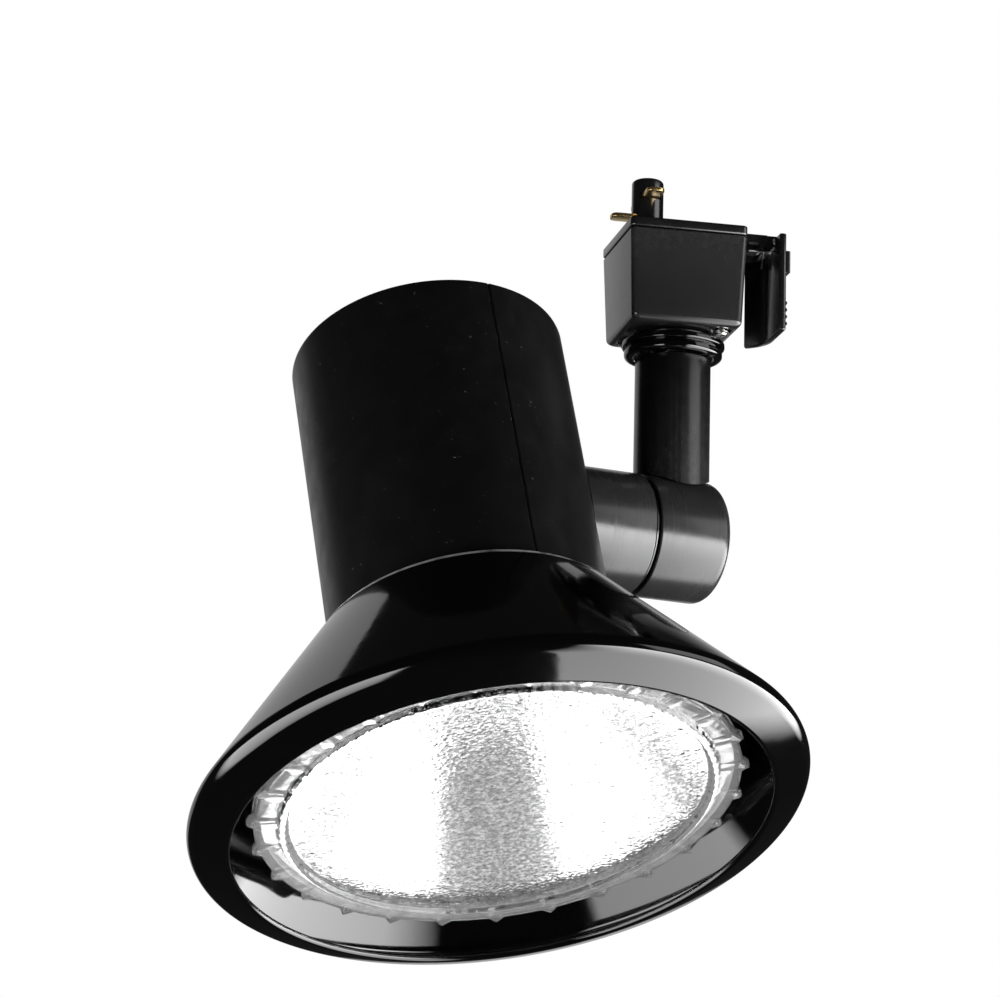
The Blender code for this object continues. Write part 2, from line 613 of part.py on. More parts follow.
def socket_parts(porcelain, copper, brass, steel, lead_material, head_axis):
    cavity_r, cavity_top = 14.4 * MM, 99.2 * MM
    body_profile = [
        (0, SOCKET_TOP),
        (SOCKET_R - 1 * MM, SOCKET_TOP),
        (SOCKET_R, SOCKET_TOP - 1 * MM),
        (SOCKET_R, SOCKET_MOUTH),
        (cavity_r, SOCKET_MOUTH),
        (cavity_r, cavity_top),
        (0, cavity_top),
    ]
    body = place(turned("socket_body", body_profile, porcelain, 32), parent=head_axis)
    shell = tube_profile(BASE_R + GAP, cavity_r - GAP, SOCKET_MOUTH + 0.6 * MM, 96 * MM)
    place(turned("socket_screw_shell", shell, copper, 32), parent=head_axis)
    contact = [(0, 98.9 * MM), (4 * MM, 98.9 * MM), (4 * MM, 98.4 * MM), (0, 98.4 * MM)]
    place(turned("socket_contact", contact, brass, TINY_ROUND), parent=head_axis)

    flat_low, foot_high, thickness = SOCKET_TOP + GAP, CAP_TOP - CAP_THICKNESS - GAP, 1 * MM
    half_w, knee, reach = 5 * MM, 9 * MM, 17 * MM
    low = (-half_w, -knee - thickness, flat_low)
    high = (half_w, knee + thickness, flat_low + thickness)
    flat = box_mesh("socket_bracket", low, high)
    bracket = place(new_part("socket_bracket", flat, steel), parent=head_axis)
    for side in (-1, 1):
        leg = sorted((side * knee, side * (knee + thickness)))
        foot = sorted((side * knee, side * reach))
        join_box(bracket, (-half_w, leg[0], flat_low), (half_w, leg[1], foot_high))
        join_box(bracket, (-half_w, foot[0], foot_high - thickness), (half_w, foot[1], foot_high))
    for i, side in enumerate((-1, 1)):
        screw_y = side * SOCKET_SCREW_Y
        hole(body, 1.3 * MM, 8 * MM, (0, screw_y, SOCKET_TOP), sides=TINY_ROUND)
        hole(bracket, 1.3 * MM, 3 * MM, (0, screw_y, flat_low + 0.5 * MM), sides=TINY_ROUND)
        screw = pan_head_screw(f"socket_screw_{i + 1}", 2 * MM, 1.2 * MM, 0.9 * MM, 4.6 * MM, steel)
        place(screw, (0, screw_y, flat_low + thickness + GAP), parent=head_axis)
        foot_y = side * BRACKET_SCREW_Y
        hole(bracket, 1.3 * MM, 3 * MM, (0, foot_y, foot_high - 0.5 * MM), sides=TINY_ROUND)
        screw = pan_head_screw(f"bracket_screw_{i + 1}", 2.1 * MM, 1.1 * MM, 0.9 * MM, 4.0 * MM, steel)
        place(screw, (0, foot_y, CAP_TOP + GAP), parent=head_axis)
    for i, degrees in enumerate(CAP_SCREW_ANGLES):
        location, rotation = radial_place(CYLINDER_R + 0.4 * MM, degrees)
        screw = pan_head_screw(f"cap_screw_{i + 1}", 1.7 * MM, 1 * MM, 0.8 * MM, 4 * MM, steel)
        place(screw, location, rotation, head_axis)

    start_x, riser_x, top_z = HEAD_OFFSET - 29.4 * MM, 18.6 * MM, 107.6 * MM
    first_bend = arc((start_x, PIVOT_HEIGHT + 2.3 * MM), start_x - riser_x, 270, 180, 5)
    top_bend = arc((riser_x - 3 * MM, top_z - 3 * MM), 3 * MM, 0, 90, 5)
    end_bend = arc((9.5 * MM, top_z - 1.5 * MM), 1.5 * MM, 90, 180, 4)
    route = [(x, 0, z) for x, z in first_bend + top_bend + end_bend] + [(8 * MM, 0, SOCKET_TOP + GAP)]
    lead("head_lead", route, lead_material, parent=head_axis)


# Lamp


def reflector_radius(height):
    """A paraboloid through the rim and the throat."""
    slope = (LAMP_R**2 - LAMP_THROAT_R**2) / (LAMP_THROAT_HEIGHT - LAMP_RIM_TOP)
    return math.sqrt(LAMP_R**2 - slope * (height - LAMP_RIM_TOP))


def lamp_parts(glass, silvered, nickel, brass, black_glass, head_axis):
    lens_profile = [
        (0, 7.4 * MM),
        (42 * MM, 8.4 * MM),
        (LAMP_R - 0.3 * MM, 8.4 * MM),
        (LAMP_R, 8.0 * MM),
        (LAMP_R, 6.7 * MM),
        (LAMP_R - 0.7 * MM, 6.0 * MM),
        (42 * MM, 5.8 * MM),
        (28 * MM, 5.2 * MM),
        (14 * MM, 4.8 * MM),
        (0, 4.7 * MM),
    ]
    place(turned("lamp_lens", lens_profile, glass, ROUND), parent=head_axis)

    heights = [LAMP_RIM_TOP + (49 * MM - LAMP_RIM_TOP) * i / 7 for i in range(8)]
    outer = [(reflector_radius(z), z) for z in heights]
    neck = [
        (14.6 * MM, 58 * MM),
        (13.4 * MM, 66 * MM),
        (13.2 * MM, 69.6 * MM),
        (12.2 * MM, 69.6 * MM),
        (12.2 * MM, 77 * MM),
    ]
    inner = [(r - LAMP_WALL, z) for r, z in reversed(outer + neck[:2] + neck[-1:])]
    rim = [(LAMP_R, 8.7 * MM), (LAMP_R - LAMP_WALL, 8.7 * MM)]
    profile = list(reversed(outer + neck)) + rim + list(reversed(inner))
    place(turned("lamp_reflector", profile, silvered, 48), parent=head_axis)

    shell = tube_profile(BASE_R - 0.6 * MM, BASE_R, 69.9 * MM, 91 * MM)
    place(turned("lamp_base_shell", shell, nickel, 32), parent=head_axis)
    insulator = [
        (0, 96.6 * MM),
        (5.2 * MM, 96.6 * MM),
        (12 * MM, 92 * MM),
        (12 * MM, 91.3 * MM),
        (0, 91.3 * MM),
    ]
    place(turned("lamp_base_insulator", insulator, black_glass), parent=head_axis)
    eyelet = [
        (0, LAMP_TIP),
        (3.4 * MM, LAMP_TIP),
        (4.4 * MM, 97.3 * MM),
        (4.4 * MM, 96.9 * MM),
        (0, 96.9 * MM),
    ]
    place(turned("lamp_base_eyelet", eyelet, brass, TINY_ROUND), parent=head_axis)
    capsule = [
        (0, 58 * MM),
        (3 * MM, 58 * MM),
        (3 * MM, 48 * MM),
        *arc((0, 44 * MM), 5 * MM, 30, 0, 3),
        *arc((0, 33 * MM), 5 * MM, 0, -67.5, 4),
        (0, 28 * MM),
    ]
    place(turned("lamp_capsule", capsule, glass, TINY_ROUND), parent=head_axis)
    mount = [
        (0, 80 * MM),
        (10 * MM, 80 * MM),
        (10 * MM, 78 * MM),
        (2 * MM, 77.5 * MM),
        (2 * MM, 58.3 * MM),
        (0, 58.3 * MM),
    ]
    place(turned("lamp_capsule_mount", mount, nickel, TINY_ROUND), parent=head_axis)


clear_scene()
PARTS = new_collection("track_spotlight")
CUTTERS = new_collection("cutters")


def build():
    black = new_material("black_enamel", (0.012, 0.012, 0.013), 0.2)
    satin = new_material("satin_black", (0.02, 0.02, 0.022), 0.4)
    plastic = new_material("black_plastic", (0.025, 0.025, 0.027), 0.45)
    pale_plastic = new_material("pale_plastic", (0.7, 0.68, 0.62), 0.5)
    gunmetal = new_material("gunmetal", (0.09, 0.09, 0.1), 0.35, 0.8)
    steel = new_material("steel", (0.55, 0.55, 0.56), 0.35, 1.0)
    brass = new_material("brass", (0.72, 0.52, 0.22), 0.3, 1.0)
    copper = new_material("copper", (0.7, 0.38, 0.24), 0.35, 1.0)
    porcelain = new_material("porcelain", (0.85, 0.84, 0.8), 0.25)
    nickel = new_material("nickel", (0.66, 0.65, 0.62), 0.25, 1.0)
    glass = new_material("lens_glass", (0.92, 0.94, 0.95), 0.05)
    silvered = new_material("silvered_glass", (0.8, 0.8, 0.8), 0.1, 0.9)
    black_glass = new_material("black_glass", (0.01, 0.01, 0.012), 0.1)
    sleeving = new_material("sleeving", (0.75, 0.72, 0.65), 0.8)

    adapter_housing(satin)
    adapter_cover(plastic)
    contact_post(plastic)
    contact_blade("live_contact", -90, BLADE_Z, brass)
    contact_blade("neutral_contact", 90, BLADE_Z, brass)
    contact_blade("ground_contact", 180, GROUND_Z, brass)
    housing_screws(steel)
    latch_lever(plastic)
    pin_mesh = rod_mesh("lever_pin", 0.6 * MM, 15.6 * MM, TINY_ROUND)
    place(new_part("lever_pin", pin_mesh, steel), LEVER_PIN, (math.pi / 2, 0, 0))
    lever_spring(steel)
    post_bottom = -COVER_THICKNESS - GAP - 2.3 * MM
    drop = arc((POST_X + 4 * MM, post_bottom - 1.5 * MM), 4 * MM, 180, 270, 5)
    into_stem = arc((-2.2 * MM, NIPPLE_TOP_Z + 0.7 * MM), 2.2 * MM, 90, 0, 4)
    adapter_route = [(POST_X, 0, post_bottom - GAP)] + [(x, 0, z) for x, z in drop + into_stem]
    lead("adapter_lead", adapter_route, sleeving)

    pan_axis = new_empty("pan_axis", (0, 0, 0), (0, 0, PAN))
    tilt_axis = new_empty("tilt_axis", (0, 0, PIVOT_Z), (-TILT, 0, 0), pan_axis)
    head_axis = new_empty("head_axis", (-HEAD_OFFSET, 0, -PIVOT_HEIGHT), parent=tilt_axis)
    stem_parts(steel, black, pale_plastic, plastic, brass, satin, sleeving, gunmetal, pan_axis)
    knuckle_inner(gunmetal, tilt_axis)
    cylinder_housing(satin, head_axis)
    back_cap(satin, head_axis)
    shade(black, head_axis)
    socket_parts(porcelain, copper, brass, steel, sleeving, head_axis)
    lamp_parts(glass, silvered, nickel, brass, black_glass, head_axis)


build()
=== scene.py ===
"""Track spotlight: the detailed pieces, their materials and the studio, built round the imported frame.

Each piece is modelled in the frame of its part: the adapter's, the stem's, the knuckle's or the head's,
whose Z runs up the cylinder from zero at the shade's mouth. Profiles are (radius, height) points in metres,
and a corner may carry the radius of its fillet, in millimetres.
"""

import json
import math

import bmesh
import bpy
from mathutils import Matrix, Vector, noise

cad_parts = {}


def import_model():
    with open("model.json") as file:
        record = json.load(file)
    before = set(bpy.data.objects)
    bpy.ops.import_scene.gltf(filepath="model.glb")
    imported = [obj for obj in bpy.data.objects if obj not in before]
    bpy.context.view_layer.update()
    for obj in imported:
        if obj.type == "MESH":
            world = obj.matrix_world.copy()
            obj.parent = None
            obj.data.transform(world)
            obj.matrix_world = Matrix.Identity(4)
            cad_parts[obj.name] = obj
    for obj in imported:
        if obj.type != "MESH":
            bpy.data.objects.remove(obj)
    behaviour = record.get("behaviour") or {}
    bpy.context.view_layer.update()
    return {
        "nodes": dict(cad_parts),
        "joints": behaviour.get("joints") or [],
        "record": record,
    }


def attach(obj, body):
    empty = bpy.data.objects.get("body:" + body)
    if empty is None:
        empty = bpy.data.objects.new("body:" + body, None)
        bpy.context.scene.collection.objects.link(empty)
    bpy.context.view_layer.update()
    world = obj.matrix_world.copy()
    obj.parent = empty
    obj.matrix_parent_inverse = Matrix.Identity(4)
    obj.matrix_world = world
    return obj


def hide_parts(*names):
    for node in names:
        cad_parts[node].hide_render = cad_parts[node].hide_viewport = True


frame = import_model()

MM = 0.001
TURN = 2 * math.pi
GAP = 0.3 * MM

# Adapter
BOX_HALF = (12.7 * MM, 12.9 * MM)
BOX_FOOT_HALF = (11.9 * MM, 12.0 * MM)
BOX_FLOOR_Z = -22.0 * MM
BOX_WALL = 1.5 * MM
COVER_THICKNESS = 2.0 * MM
POST_X = -6.1 * MM
POST_R = 3.4 * MM
POST_TOP_Z = 12.0 * MM
BLADE_Z = 8.0 * MM
GROUND_Z = 3.6 * MM
BOX_SCREW_SPOTS = ((8.3 * MM, -7.7 * MM), (-8.3 * MM, 7.7 * MM))
LEVER_PIN = Vector((20.2, 0.0, -1.45)) * MM
LEVER_X = 20.6 * MM
LEVER_TOP_Z = -0.6 * MM
LEVER_BOTTOM_Z = -21.8 * MM

# Stem and knuckle
STEM_R = 8.0 * MM
NIPPLE_R = 4.6 * MM
NIPPLE_BORE_R = 3.0 * MM
NIPPLE_TOP_Z = -13.5 * MM
FLANGE_R = 10.9 * MM
FLANGE_TOP_Z = -23.4 * MM
FLANGE_BOTTOM_Z = -27.0 * MM
KNUCKLE_R = 12.8 * MM
KNUCKLE_END = 8.7 * MM
KNUCKLE_SEAM = -9.1 * MM
HEAD_OFFSET = 50.3 * MM

# Head
PIVOT_HEIGHT = 74.8 * MM
CYLINDER_R = 28.38 * MM
CYLINDER_WALL = 1.2 * MM
CYLINDER_TOP = 112.3 * MM
SHADE_TOP = 44.9 * MM
SHADE_TOP_R = 31.0 * MM
SHADE_MAX_R = 60.5 * MM
SHADE_MAX_HEIGHT = 4.85 * MM
SHADE_MOUTH_R = 52.6 * MM
CAP_TOP = 110.7 * MM
CAP_UNDERSIDE = 109.5 * MM
SOCKET_R = 16.5 * MM
SOCKET_MOUTH = 71.4 * MM
SOCKET_TOP = 105.0 * MM
LAMP_R = 47.6 * MM
LAMP_TIP = 98.1 * MM
FACE_R = 41 * MM
BARE_RIM_TOP = 12.7 * MM
NECK_GLASS_START = 40 * MM
REFLECTOR_FOOT = 12 * MM
REFLECTOR_DEPTH = 37 * MM
REFLECTOR_END_R = 26 * MM
BASE_R = 13.2 * MM
BASE_PITCH = 3.629 * MM
SEAM_ANGLE = math.radians(-87.0)
RIM_BUMPS = 27
OWN_PLACE = "own_place"

joints = {joint["name"]: joint for joint in frame["joints"]}
pivot = Vector(joints["tilt"]["pos_m"])
knuckle_way = -Vector(joints["tilt"]["axis"]).normalized()
head_way = -Vector(joints["lamp_slide"]["axis"]).normalized()
mouth = Vector(joints["lamp_turn"]["pos_m"]) - LAMP_TIP * head_way


def moved(x, y, z):
    return Matrix.Translation((x, y, z))


def place_at(origin, z_way, x_way):
    """The frame at origin whose Z is z_way and whose X is as near x_way as it can be."""
    z = z_way.normalized()
    y = z.cross(x_way).normalized()
    place = Matrix((y.cross(z), y, z)).transposed().to_4x4()
    place.translation = origin
    return place


ADAPTER = Matrix.Identity(4)
STEM = place_at(Vector((0, 0, 0)), Vector((0, 0, 1)), knuckle_way)
OUTER_KNUCKLE = place_at(pivot, knuckle_way, Vector((0, 0, -1)))
INNER_KNUCKLE = place_at(pivot, knuckle_way, -head_way)
HEAD = place_at(mouth, head_way, knuckle_way)


# Outlines


def arc(centre, radius, start, end, count):
    """count points about centre, from start to end in degrees."""
    angles = [math.radians(start + (end - start) * i / (count - 1)) for i in range(count)]
    return [(centre[0] + radius * math.cos(a), centre[1] + radius * math.sin(a)) for a in angles]


def rounded(corners, steps=4, closed=True):
    """The outline through (x, y, fillet) corners, each rounded to its own fillet radius."""
    count, outline = len(corners), []
    for i, (x, y, fillet) in enumerate(corners):
        at = Vector((x, y))
        if fillet == 0 or (not closed and i in (0, count - 1)):
            outline.append((x, y))
            continue
        before = Vector(corners[i - 1][:2]) - at
        after = Vector(corners[(i + 1) % count][:2]) - at
        half = before.angle(after) / 2
        reach = min(fillet * MM / math.tan(half), before.length * 0.49, after.length * 0.49)
        start, end = at + before.normalized() * reach, at + after.normalized() * reach
        centre = at + (before.normalized() + after.normalized()).normalized() * reach / math.cos(half)
        a, b = start - centre, end - centre
        sweep = a.angle_signed(b)
        for step in range(steps + 1):
            spoke = a.copy()
            spoke.rotate(Matrix.Rotation(-sweep * step / steps, 2))
            outline.append(tuple(centre + spoke))
    return outline


def mm(*points):
    """Points, or corners with their fillets, given in millimetres."""
    return [(x * MM, y * MM, *fillet) for x, y, *fillet in points]


def capped(corners, steps=4):
    """rounded() for a profile that starts and ends on the axis."""
    return rounded(corners, steps, closed=False)


def divided(start, end, count):
    """count points of the straight line from start up to, but not including, end."""
    return [tuple(Vector(start).lerp(Vector(end), i / count)) for i in range(count)]


def ring(inner, outer, low, high, fillet=0.25):
    corners = [(outer, high), (outer, low), (inner, low), (inner, high)]
    return rounded([(r, z, fillet) for r, z in corners], 3)


# Meshes


def finish_mesh(name, bm, sharp=32.0):
    bmesh.ops.recalc_face_normals(bm, faces=bm.faces)
    mesh = bpy.data.meshes.new(name)
    bm.to_mesh(mesh)
    bm.free()
    mesh.shade_smooth()
    mesh.set_sharp_from_angle(angle=math.radians(sharp))
    return mesh


def lathe(name, profile, steps=96, warp=None, angles=None, sharp=32.0):
    """Turns a profile about Z. It is a ring, or a solid piece if its first and last points are on the axis.

    warp(radius, height, angle) may move each point within its own half plane.
    """
    bm = bmesh.new()
    angles = angles or [TURN * i / steps for i in range(steps)]
    solid = profile[0][0] < 1e-7
    rows = []
    for radius, height in profile:
        if radius < 1e-7:
            rows.append([bm.verts.new((0, 0, height))] * len(angles))
            continue
        row = []
        for angle in angles:
            r, z = warp(radius, height, angle) if warp else (radius, height)
            row.append(bm.verts.new((r * math.cos(angle), r * math.sin(angle), z)))
        rows.append(row)
    pairs = list(zip(rows, rows[1:])) + ([] if solid else [(rows[-1], rows[0])])
    for upper, lower in pairs:
        for i, _ in enumerate(angles):
            j = (i + 1) % len(angles)
            corners = dict.fromkeys((upper[i], lower[i], lower[j], upper[j]))
            bm.faces.new(corners)
    return finish_mesh(name, bm, sharp)


def loft(name, rings, sharp=32.0):
    """Skin over rings of points, closed with a face at each end."""
    bm = bmesh.new()
    rows = [[bm.verts.new(point) for point in points] for points in rings]
    for upper, lower in zip(rows, rows[1:]):
        for i, _ in enumerate(upper):
            j = (i + 1) % len(upper)
            bm.faces.new((upper[i], upper[j], lower[j], lower[i]))
    bm.faces.new(rows[0])
    bm.faces.new(rows[-1])
    return finish_mesh(name, bm, sharp)


def plate(name, outline, low, high):
    """An outline in the XY plane, extruded along Z."""
    return loft(name, [[(x, y, z) for x, y in outline] for z in (low, high)])


def rod(name, radius, low, high, steps=48):
    return lathe(name, [(0, high), (radius, high), (radius, low), (0, low)], steps)


PIECES = []


def new_object(name, data):
    obj = bpy.data.objects.new(name, data)
    bpy.context.scene.collection.objects.link(obj)
    return obj


def add(name, mesh, place, body, slot, *nodes):
    """Puts a piece in its place, on its body, in the stead of the nodes that it stands for."""
    obj = new_object(name, mesh)
    obj.matrix_world = place
    obj.data.materials.append(LOOKS[slot])
    PIECES.append(obj)
    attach(obj, body)
    if nodes:
        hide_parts(*nodes)
    return obj


def turned(name, profile, steps, place, body, slot, node, **shaping):
    return add(name, lathe(name, profile, steps, **shaping), place, body, slot, node)


def settle(obj):
    """Moves a finished piece's mesh into the shared frame. Its look keeps the piece's own coordinates."""
    mesh = obj.data
    stored = mesh.attributes.new(OWN_PLACE, "FLOAT_VECTOR", "POINT")
    stored.data.foreach_set("vector", [number for vertex in mesh.vertices for number in vertex.co])
    mesh.transform(obj.matrix_world)
    obj.matrix_world = Matrix.Identity(4)


def repaint(obj, name):
    """Another look than the one that the piece's slot brings."""
    obj.data.materials.clear()
    obj.data.materials.append(LOOKS[name])


def also_paint(obj, *names):
    """More looks, for faces with a material_index from 1 up."""
    for name in names:
        obj.data.materials.append(LOOKS[name])


def apply_modifiers(obj, sharp=32.0):
    """Makes the shape that the modifiers give the object's own mesh."""
    bpy.context.view_layer.update()
    shown = obj.evaluated_get(bpy.context.evaluated_depsgraph_get())
    mesh = bpy.data.meshes.new_from_object(shown)
    old, obj.data = obj.data, mesh
    obj.modifiers.clear()
    bpy.data.meshes.remove(old)
    mesh.shade_smooth()
    mesh.set_sharp_from_angle(angle=math.radians(sharp))
    return obj


def cut(obj, *cutters, operation="DIFFERENCE"):
    """Cuts the piece with (mesh, place) cutters, or joins them to it."""
    made = []
    for mesh, place in cutters:
        cutter = new_object(mesh.name, mesh)
        cutter.matrix_world = place
        modifier = obj.modifiers.new("cut", "BOOLEAN")
        modifier.operation = operation
        modifier.solver = "EXACT"
        modifier.object = cutter
        made.append(cutter)
    apply_modifiers(obj)
    for cutter in made:
        bpy.data.objects.remove(cutter)
    return obj


def soften(obj, width, segments=3, angle=35.0):
    modifier = obj.modifiers.new("bevel", "BEVEL")
    modifier.width = width
    modifier.segments = segments
    modifier.angle_limit = math.radians(angle)
    modifier.use_clamp_overlap = True
    return apply_modifiers(obj)


def block(name, low, high):
    outline = [(low[0], low[1]), (high[0], low[1]), (high[0], high[1]), (low[0], high[1])]
    return plate(name, outline, low[2], high[2])


# Materials


def add_node(tree, kind, settings=(), **inputs):
    """A new node. An input given as a socket is linked, and any other is set."""
    made = tree.nodes.new("ShaderNode" + kind)
    for key, value in dict(settings).items():
        setattr(made, key, value)
    for key, value in inputs.items():
        socket = made.inputs[int(key[1:])] if key[0] == "i" and key[1:].isdigit() else made.inputs[key]
        if isinstance(value, bpy.types.NodeSocket):
            tree.links.new(value, socket)
        else:
            socket.default_value = value
    return made


WHITE = (1, 1, 1, 1)
LOOKS = {}


def new_look(name, colour, roughness, **inputs):
    LOOKS[name] = material = bpy.data.materials.new(name)
    material.use_nodes = True
    shader = material.node_tree.nodes["Principled BSDF"]
    shader.inputs["Base Color"].default_value = (*colour, 1.0)
    shader.inputs["Roughness"].default_value = roughness
    for key, value in inputs.items():
        shader.inputs[key.replace("_", " ")].default_value = value
    return material.node_tree, shader


def grey(value):
    return (value, value, value)


def own_place(tree):
    """Where a point is on its own piece, as settle() stored it."""
    return add_node(tree, "Attribute", {"attribute_name": OWN_PLACE}).outputs["Vector"]


def grain(tree, scale, detail=3.0, stretch=(1, 1, 1), roughness=0.5):
    """Noise over the piece's own coordinates, at scale features a metre."""
    mapping = add_node(tree, "Mapping", Vector=own_place(tree), Scale=stretch)
    texture = add_node(
        tree,
        "TexNoise",
        Vector=mapping.outputs[0],
        Scale=scale,
        Detail=detail,
        Roughness=roughness,
    )
    return texture.outputs["Fac"]


def product(tree, first, second):
    return add_node(tree, "Math", {"operation": "MULTIPLY"}, i0=first, i1=second).outputs[0]


def spread(tree, value, low, high, start=0.3, end=0.7):
    """value, clamped between start and end, as a number from low to high."""
    inputs = {"Value": value, "From Min": start, "From Max": end, "To Min": low, "To Max": high}
    return add_node(tree, "MapRange", **inputs).outputs[0]


def between(tree, value, first, second):
    """A colour from first to second. first may be a colour or a socket."""
    start = first if isinstance(first, bpy.types.NodeSocket) else (*first, 1)
    mix = add_node(tree, "Mix", {"data_type": "RGBA"}, i0=value, i6=start, i7=(*second, 1))
    return mix.outputs[2]


def raise_by(tree, shader, height, strength, distance):
    """Bumps the surface, on top of any bump that it has already."""
    socket = shader.inputs["Normal"]
    before = {"Normal": socket.links[0].from_socket} if socket.links else {}
    bump = add_node(tree, "Bump", Height=height, Strength=strength, Distance=distance, **before)
    tree.links.new(bump.outputs[0], socket)


def worn_edges(tree, shader, bare, amount):
    """A lighter tone where the surface bends sharply outwards."""
    point = add_node(tree, "NewGeometry").outputs["Pointiness"]
    edge = spread(tree, point, 0.0, amount, 0.54, 0.62)
    patch = product(tree, edge, grain(tree, 700, 4))
    socket = shader.inputs["Base Color"]
    mix = add_node(tree, "Mix", {"data_type": "RGBA"}, i0=patch, i7=(*bare, 1))
    if socket.links:
        tree.links.new(socket.links[0].from_socket, mix.inputs[6])
    else:
        mix.inputs[6].default_value = socket.default_value
    tree.links.new(mix.outputs[2], socket)


def look(name, first, second, tone, rough, gloss, *bumps, **inputs):
    """A material whose colour goes from first to second, and whose roughness runs over the range rough.

    tone and gloss are the (scale, detail) of the noise that drives each, or None where it doesn't vary. tone
    may end with the two levels of noise that it changes between. A bump is (scale, detail, strength,
    distance).
    """
    tree, shader = new_look(name, first, rough[0], **inputs)
    if tone:
        scale, detail, *levels = tone
        share = grain(tree, scale, detail)
        if levels:
            share = spread(tree, share, 0.0, 1.0, *levels)
        tree.links.new(between(tree, share, first, second), shader.inputs["Base Color"])
    if gloss:
        tree.links.new(spread(tree, grain(tree, *gloss), *rough), shader.inputs["Roughness"])
    for scale, detail, strength, distance in bumps:
        raise_by(tree, shader, grain(tree, scale, detail), strength, distance)


def paint(name, dark, light, rough, peel, peel_scale, gloss=0.5, dust=0.0, spun=0.0):
    """Black paint: a tone that drifts a little, uneven gloss and the fine peel of a sprayed coat.

    dust is how much the pale specks show, and spun how much the rings of spun metal do.
    """
    tree, shader = new_look(name, dark, rough[0], Specular_IOR_Level=gloss)
    tone = between(tree, grain(tree, 60, 5), dark, light)
    specks = spread(tree, grain(tree, 1400, 1), 0.0, dust, 0.74, 0.8)
    tree.links.new(between(tree, specks, tone, grey(0.05)), shader.inputs["Base Color"])
    tree.links.new(spread(tree, grain(tree, 240, 6), *rough), shader.inputs["Roughness"])
    raise_by(tree, shader, grain(tree, peel_scale, 2), peel, 0.05 * MM)
    raise_by(tree, shader, grain(tree, 150, 2), 0.12, 0.1 * MM)
    if spun:
        raise_by(tree, shader, grain(tree, 260, 1, stretch=(0.02, 0.02, 1)), spun, 0.1 * MM)
    worn_edges(tree, shader, grey(0.12), 0.5)


def moulded_look(name, dark, light, rough):
    look(name, dark, light, (90, 4), rough, (400, 4), (3200, 2, 0.3, 0.03 * MM), Specular_IOR_Level=0.9)


def turned_look(name, dark, light, rough, metallic=1.0, lines=0.25):
    """Metal with the fine rings that turning or drawing leaves round its axis."""
    tree, shader = new_look(name, dark, rough[0], Metallic=metallic)
    rings = grain(tree, 3000, 3, stretch=(0.01, 0.01, 1))
    tree.links.new(between(tree, grain(tree, 130, 5), dark, light), shader.inputs["Base Color"])
    tree.links.new(spread(tree, rings, *rough), shader.inputs["Roughness"])
    raise_by(tree, shader, rings, lines, 0.02 * MM)


def lens_look():
    """Pressed clear glass. Fine stippling covers the face and stops at the flange round it; grey specks in
    the face's colour are painted shade.
    """
    tree, shader = new_look("lens_glass", (0.97, 0.98, 0.98), 0.01, Transmission_Weight=1.0, IOR=1.47)
    coords = own_place(tree)
    flat = add_node(tree, "VectorMath", {"operation": "MULTIPLY"}, i0=coords, i1=(1, 1, 0))
    reach = add_node(tree, "VectorMath", {"operation": "LENGTH"}, i0=flat.outputs[0])
    on_face = spread(tree, reach.outputs["Value"], 1.0, 0.0, FACE_R - 0.6 * MM, FACE_R)
    stipple = add_node(tree, "TexVoronoi", {"feature": "SMOOTH_F1"}, Vector=coords, Scale=1500.0)
    height = product(tree, stipple.outputs["Distance"], on_face)
    raise_by(tree, shader, height, 0.7, 0.12 * MM)
    # Painted shade: grey specks mixed into the colour of the face.
    painted_shade_specks = spread(tree, grain(tree, 1000, 2, roughness=0.7), 0.0, 1.0, 0.42, 0.56)
    painted_shade_on_face = product(tree, painted_shade_specks, on_face)
    tree.links.new(between(tree, painted_shade_on_face, grey(0.98), grey(0.42)), shader.inputs["Base Color"])


def sleeving_look():
    """Woven glass fibre: two sets of fine slanting ribs that cross."""
    tree, shader = new_look("sleeving", (0.74, 0.71, 0.63), 0.8)
    coords = own_place(tree)
    heights = []
    for slant in (45, -45):
        slanted = add_node(tree, "Mapping", Vector=coords, Rotation=(0, math.radians(slant), 0))
        wave = add_node(tree, "TexWave", Vector=slanted.outputs[0], Scale=700.0, Distortion=0.6)
        heights.append(wave.outputs["Fac"])
    weave = add_node(tree, "Math", {"operation": "MAXIMUM"}, i0=heights[0], i1=heights[1]).outputs[0]
    tree.links.new(between(tree, weave, (0.5, 0.47, 0.4), (0.8, 0.77, 0.7)), shader.inputs["Base Color"])
    raise_by(tree, shader, weave, 0.7, 0.15 * MM)


paint("satin_black", (0.0015, 0.0015, 0.0016), (0.003, 0.003, 0.0032), (0.3, 0.4), 0.3, 2600, 0.3, 1.0)
paint("black_enamel", grey(0.0005), grey(0.0009), (0.05, 0.085), 0.04, 900, spun=0.06)
paint("stem_black", (0.0008, 0.0008, 0.0009), (0.0016, 0.0016, 0.0017), (0.2, 0.25), 0.1, 2600, 0.4)
paint("box_black", (0.0075, 0.0075, 0.0077), (0.0085, 0.0085, 0.0087), (0.19, 0.22), 0.15, 2600)
moulded_look("black_plastic", (0.004, 0.004, 0.0042), (0.006, 0.006, 0.0062), (0.15, 0.22))
moulded_look("pale_plastic", (0.62, 0.6, 0.54), (0.74, 0.72, 0.66), (0.4, 0.55))
moulded_look("black_glass", (0.006, 0.006, 0.008), (0.012, 0.012, 0.014), (0.06, 0.14))
turned_look("gunmetal", (0.03, 0.03, 0.0305), (0.048, 0.048, 0.049), (0.2, 0.28), 0.6, 0.2)
turned_look("steel", (0.5, 0.5, 0.5), (0.64, 0.63, 0.6), (0.22, 0.38))
turned_look("brass", (0.66, 0.46, 0.18), (0.78, 0.58, 0.27), (0.2, 0.36))
turned_look("copper", (0.62, 0.33, 0.2), (0.74, 0.43, 0.28), (0.22, 0.38))
turned_look("nickel", (0.62, 0.61, 0.57), (0.7, 0.69, 0.66), (0.14, 0.28))
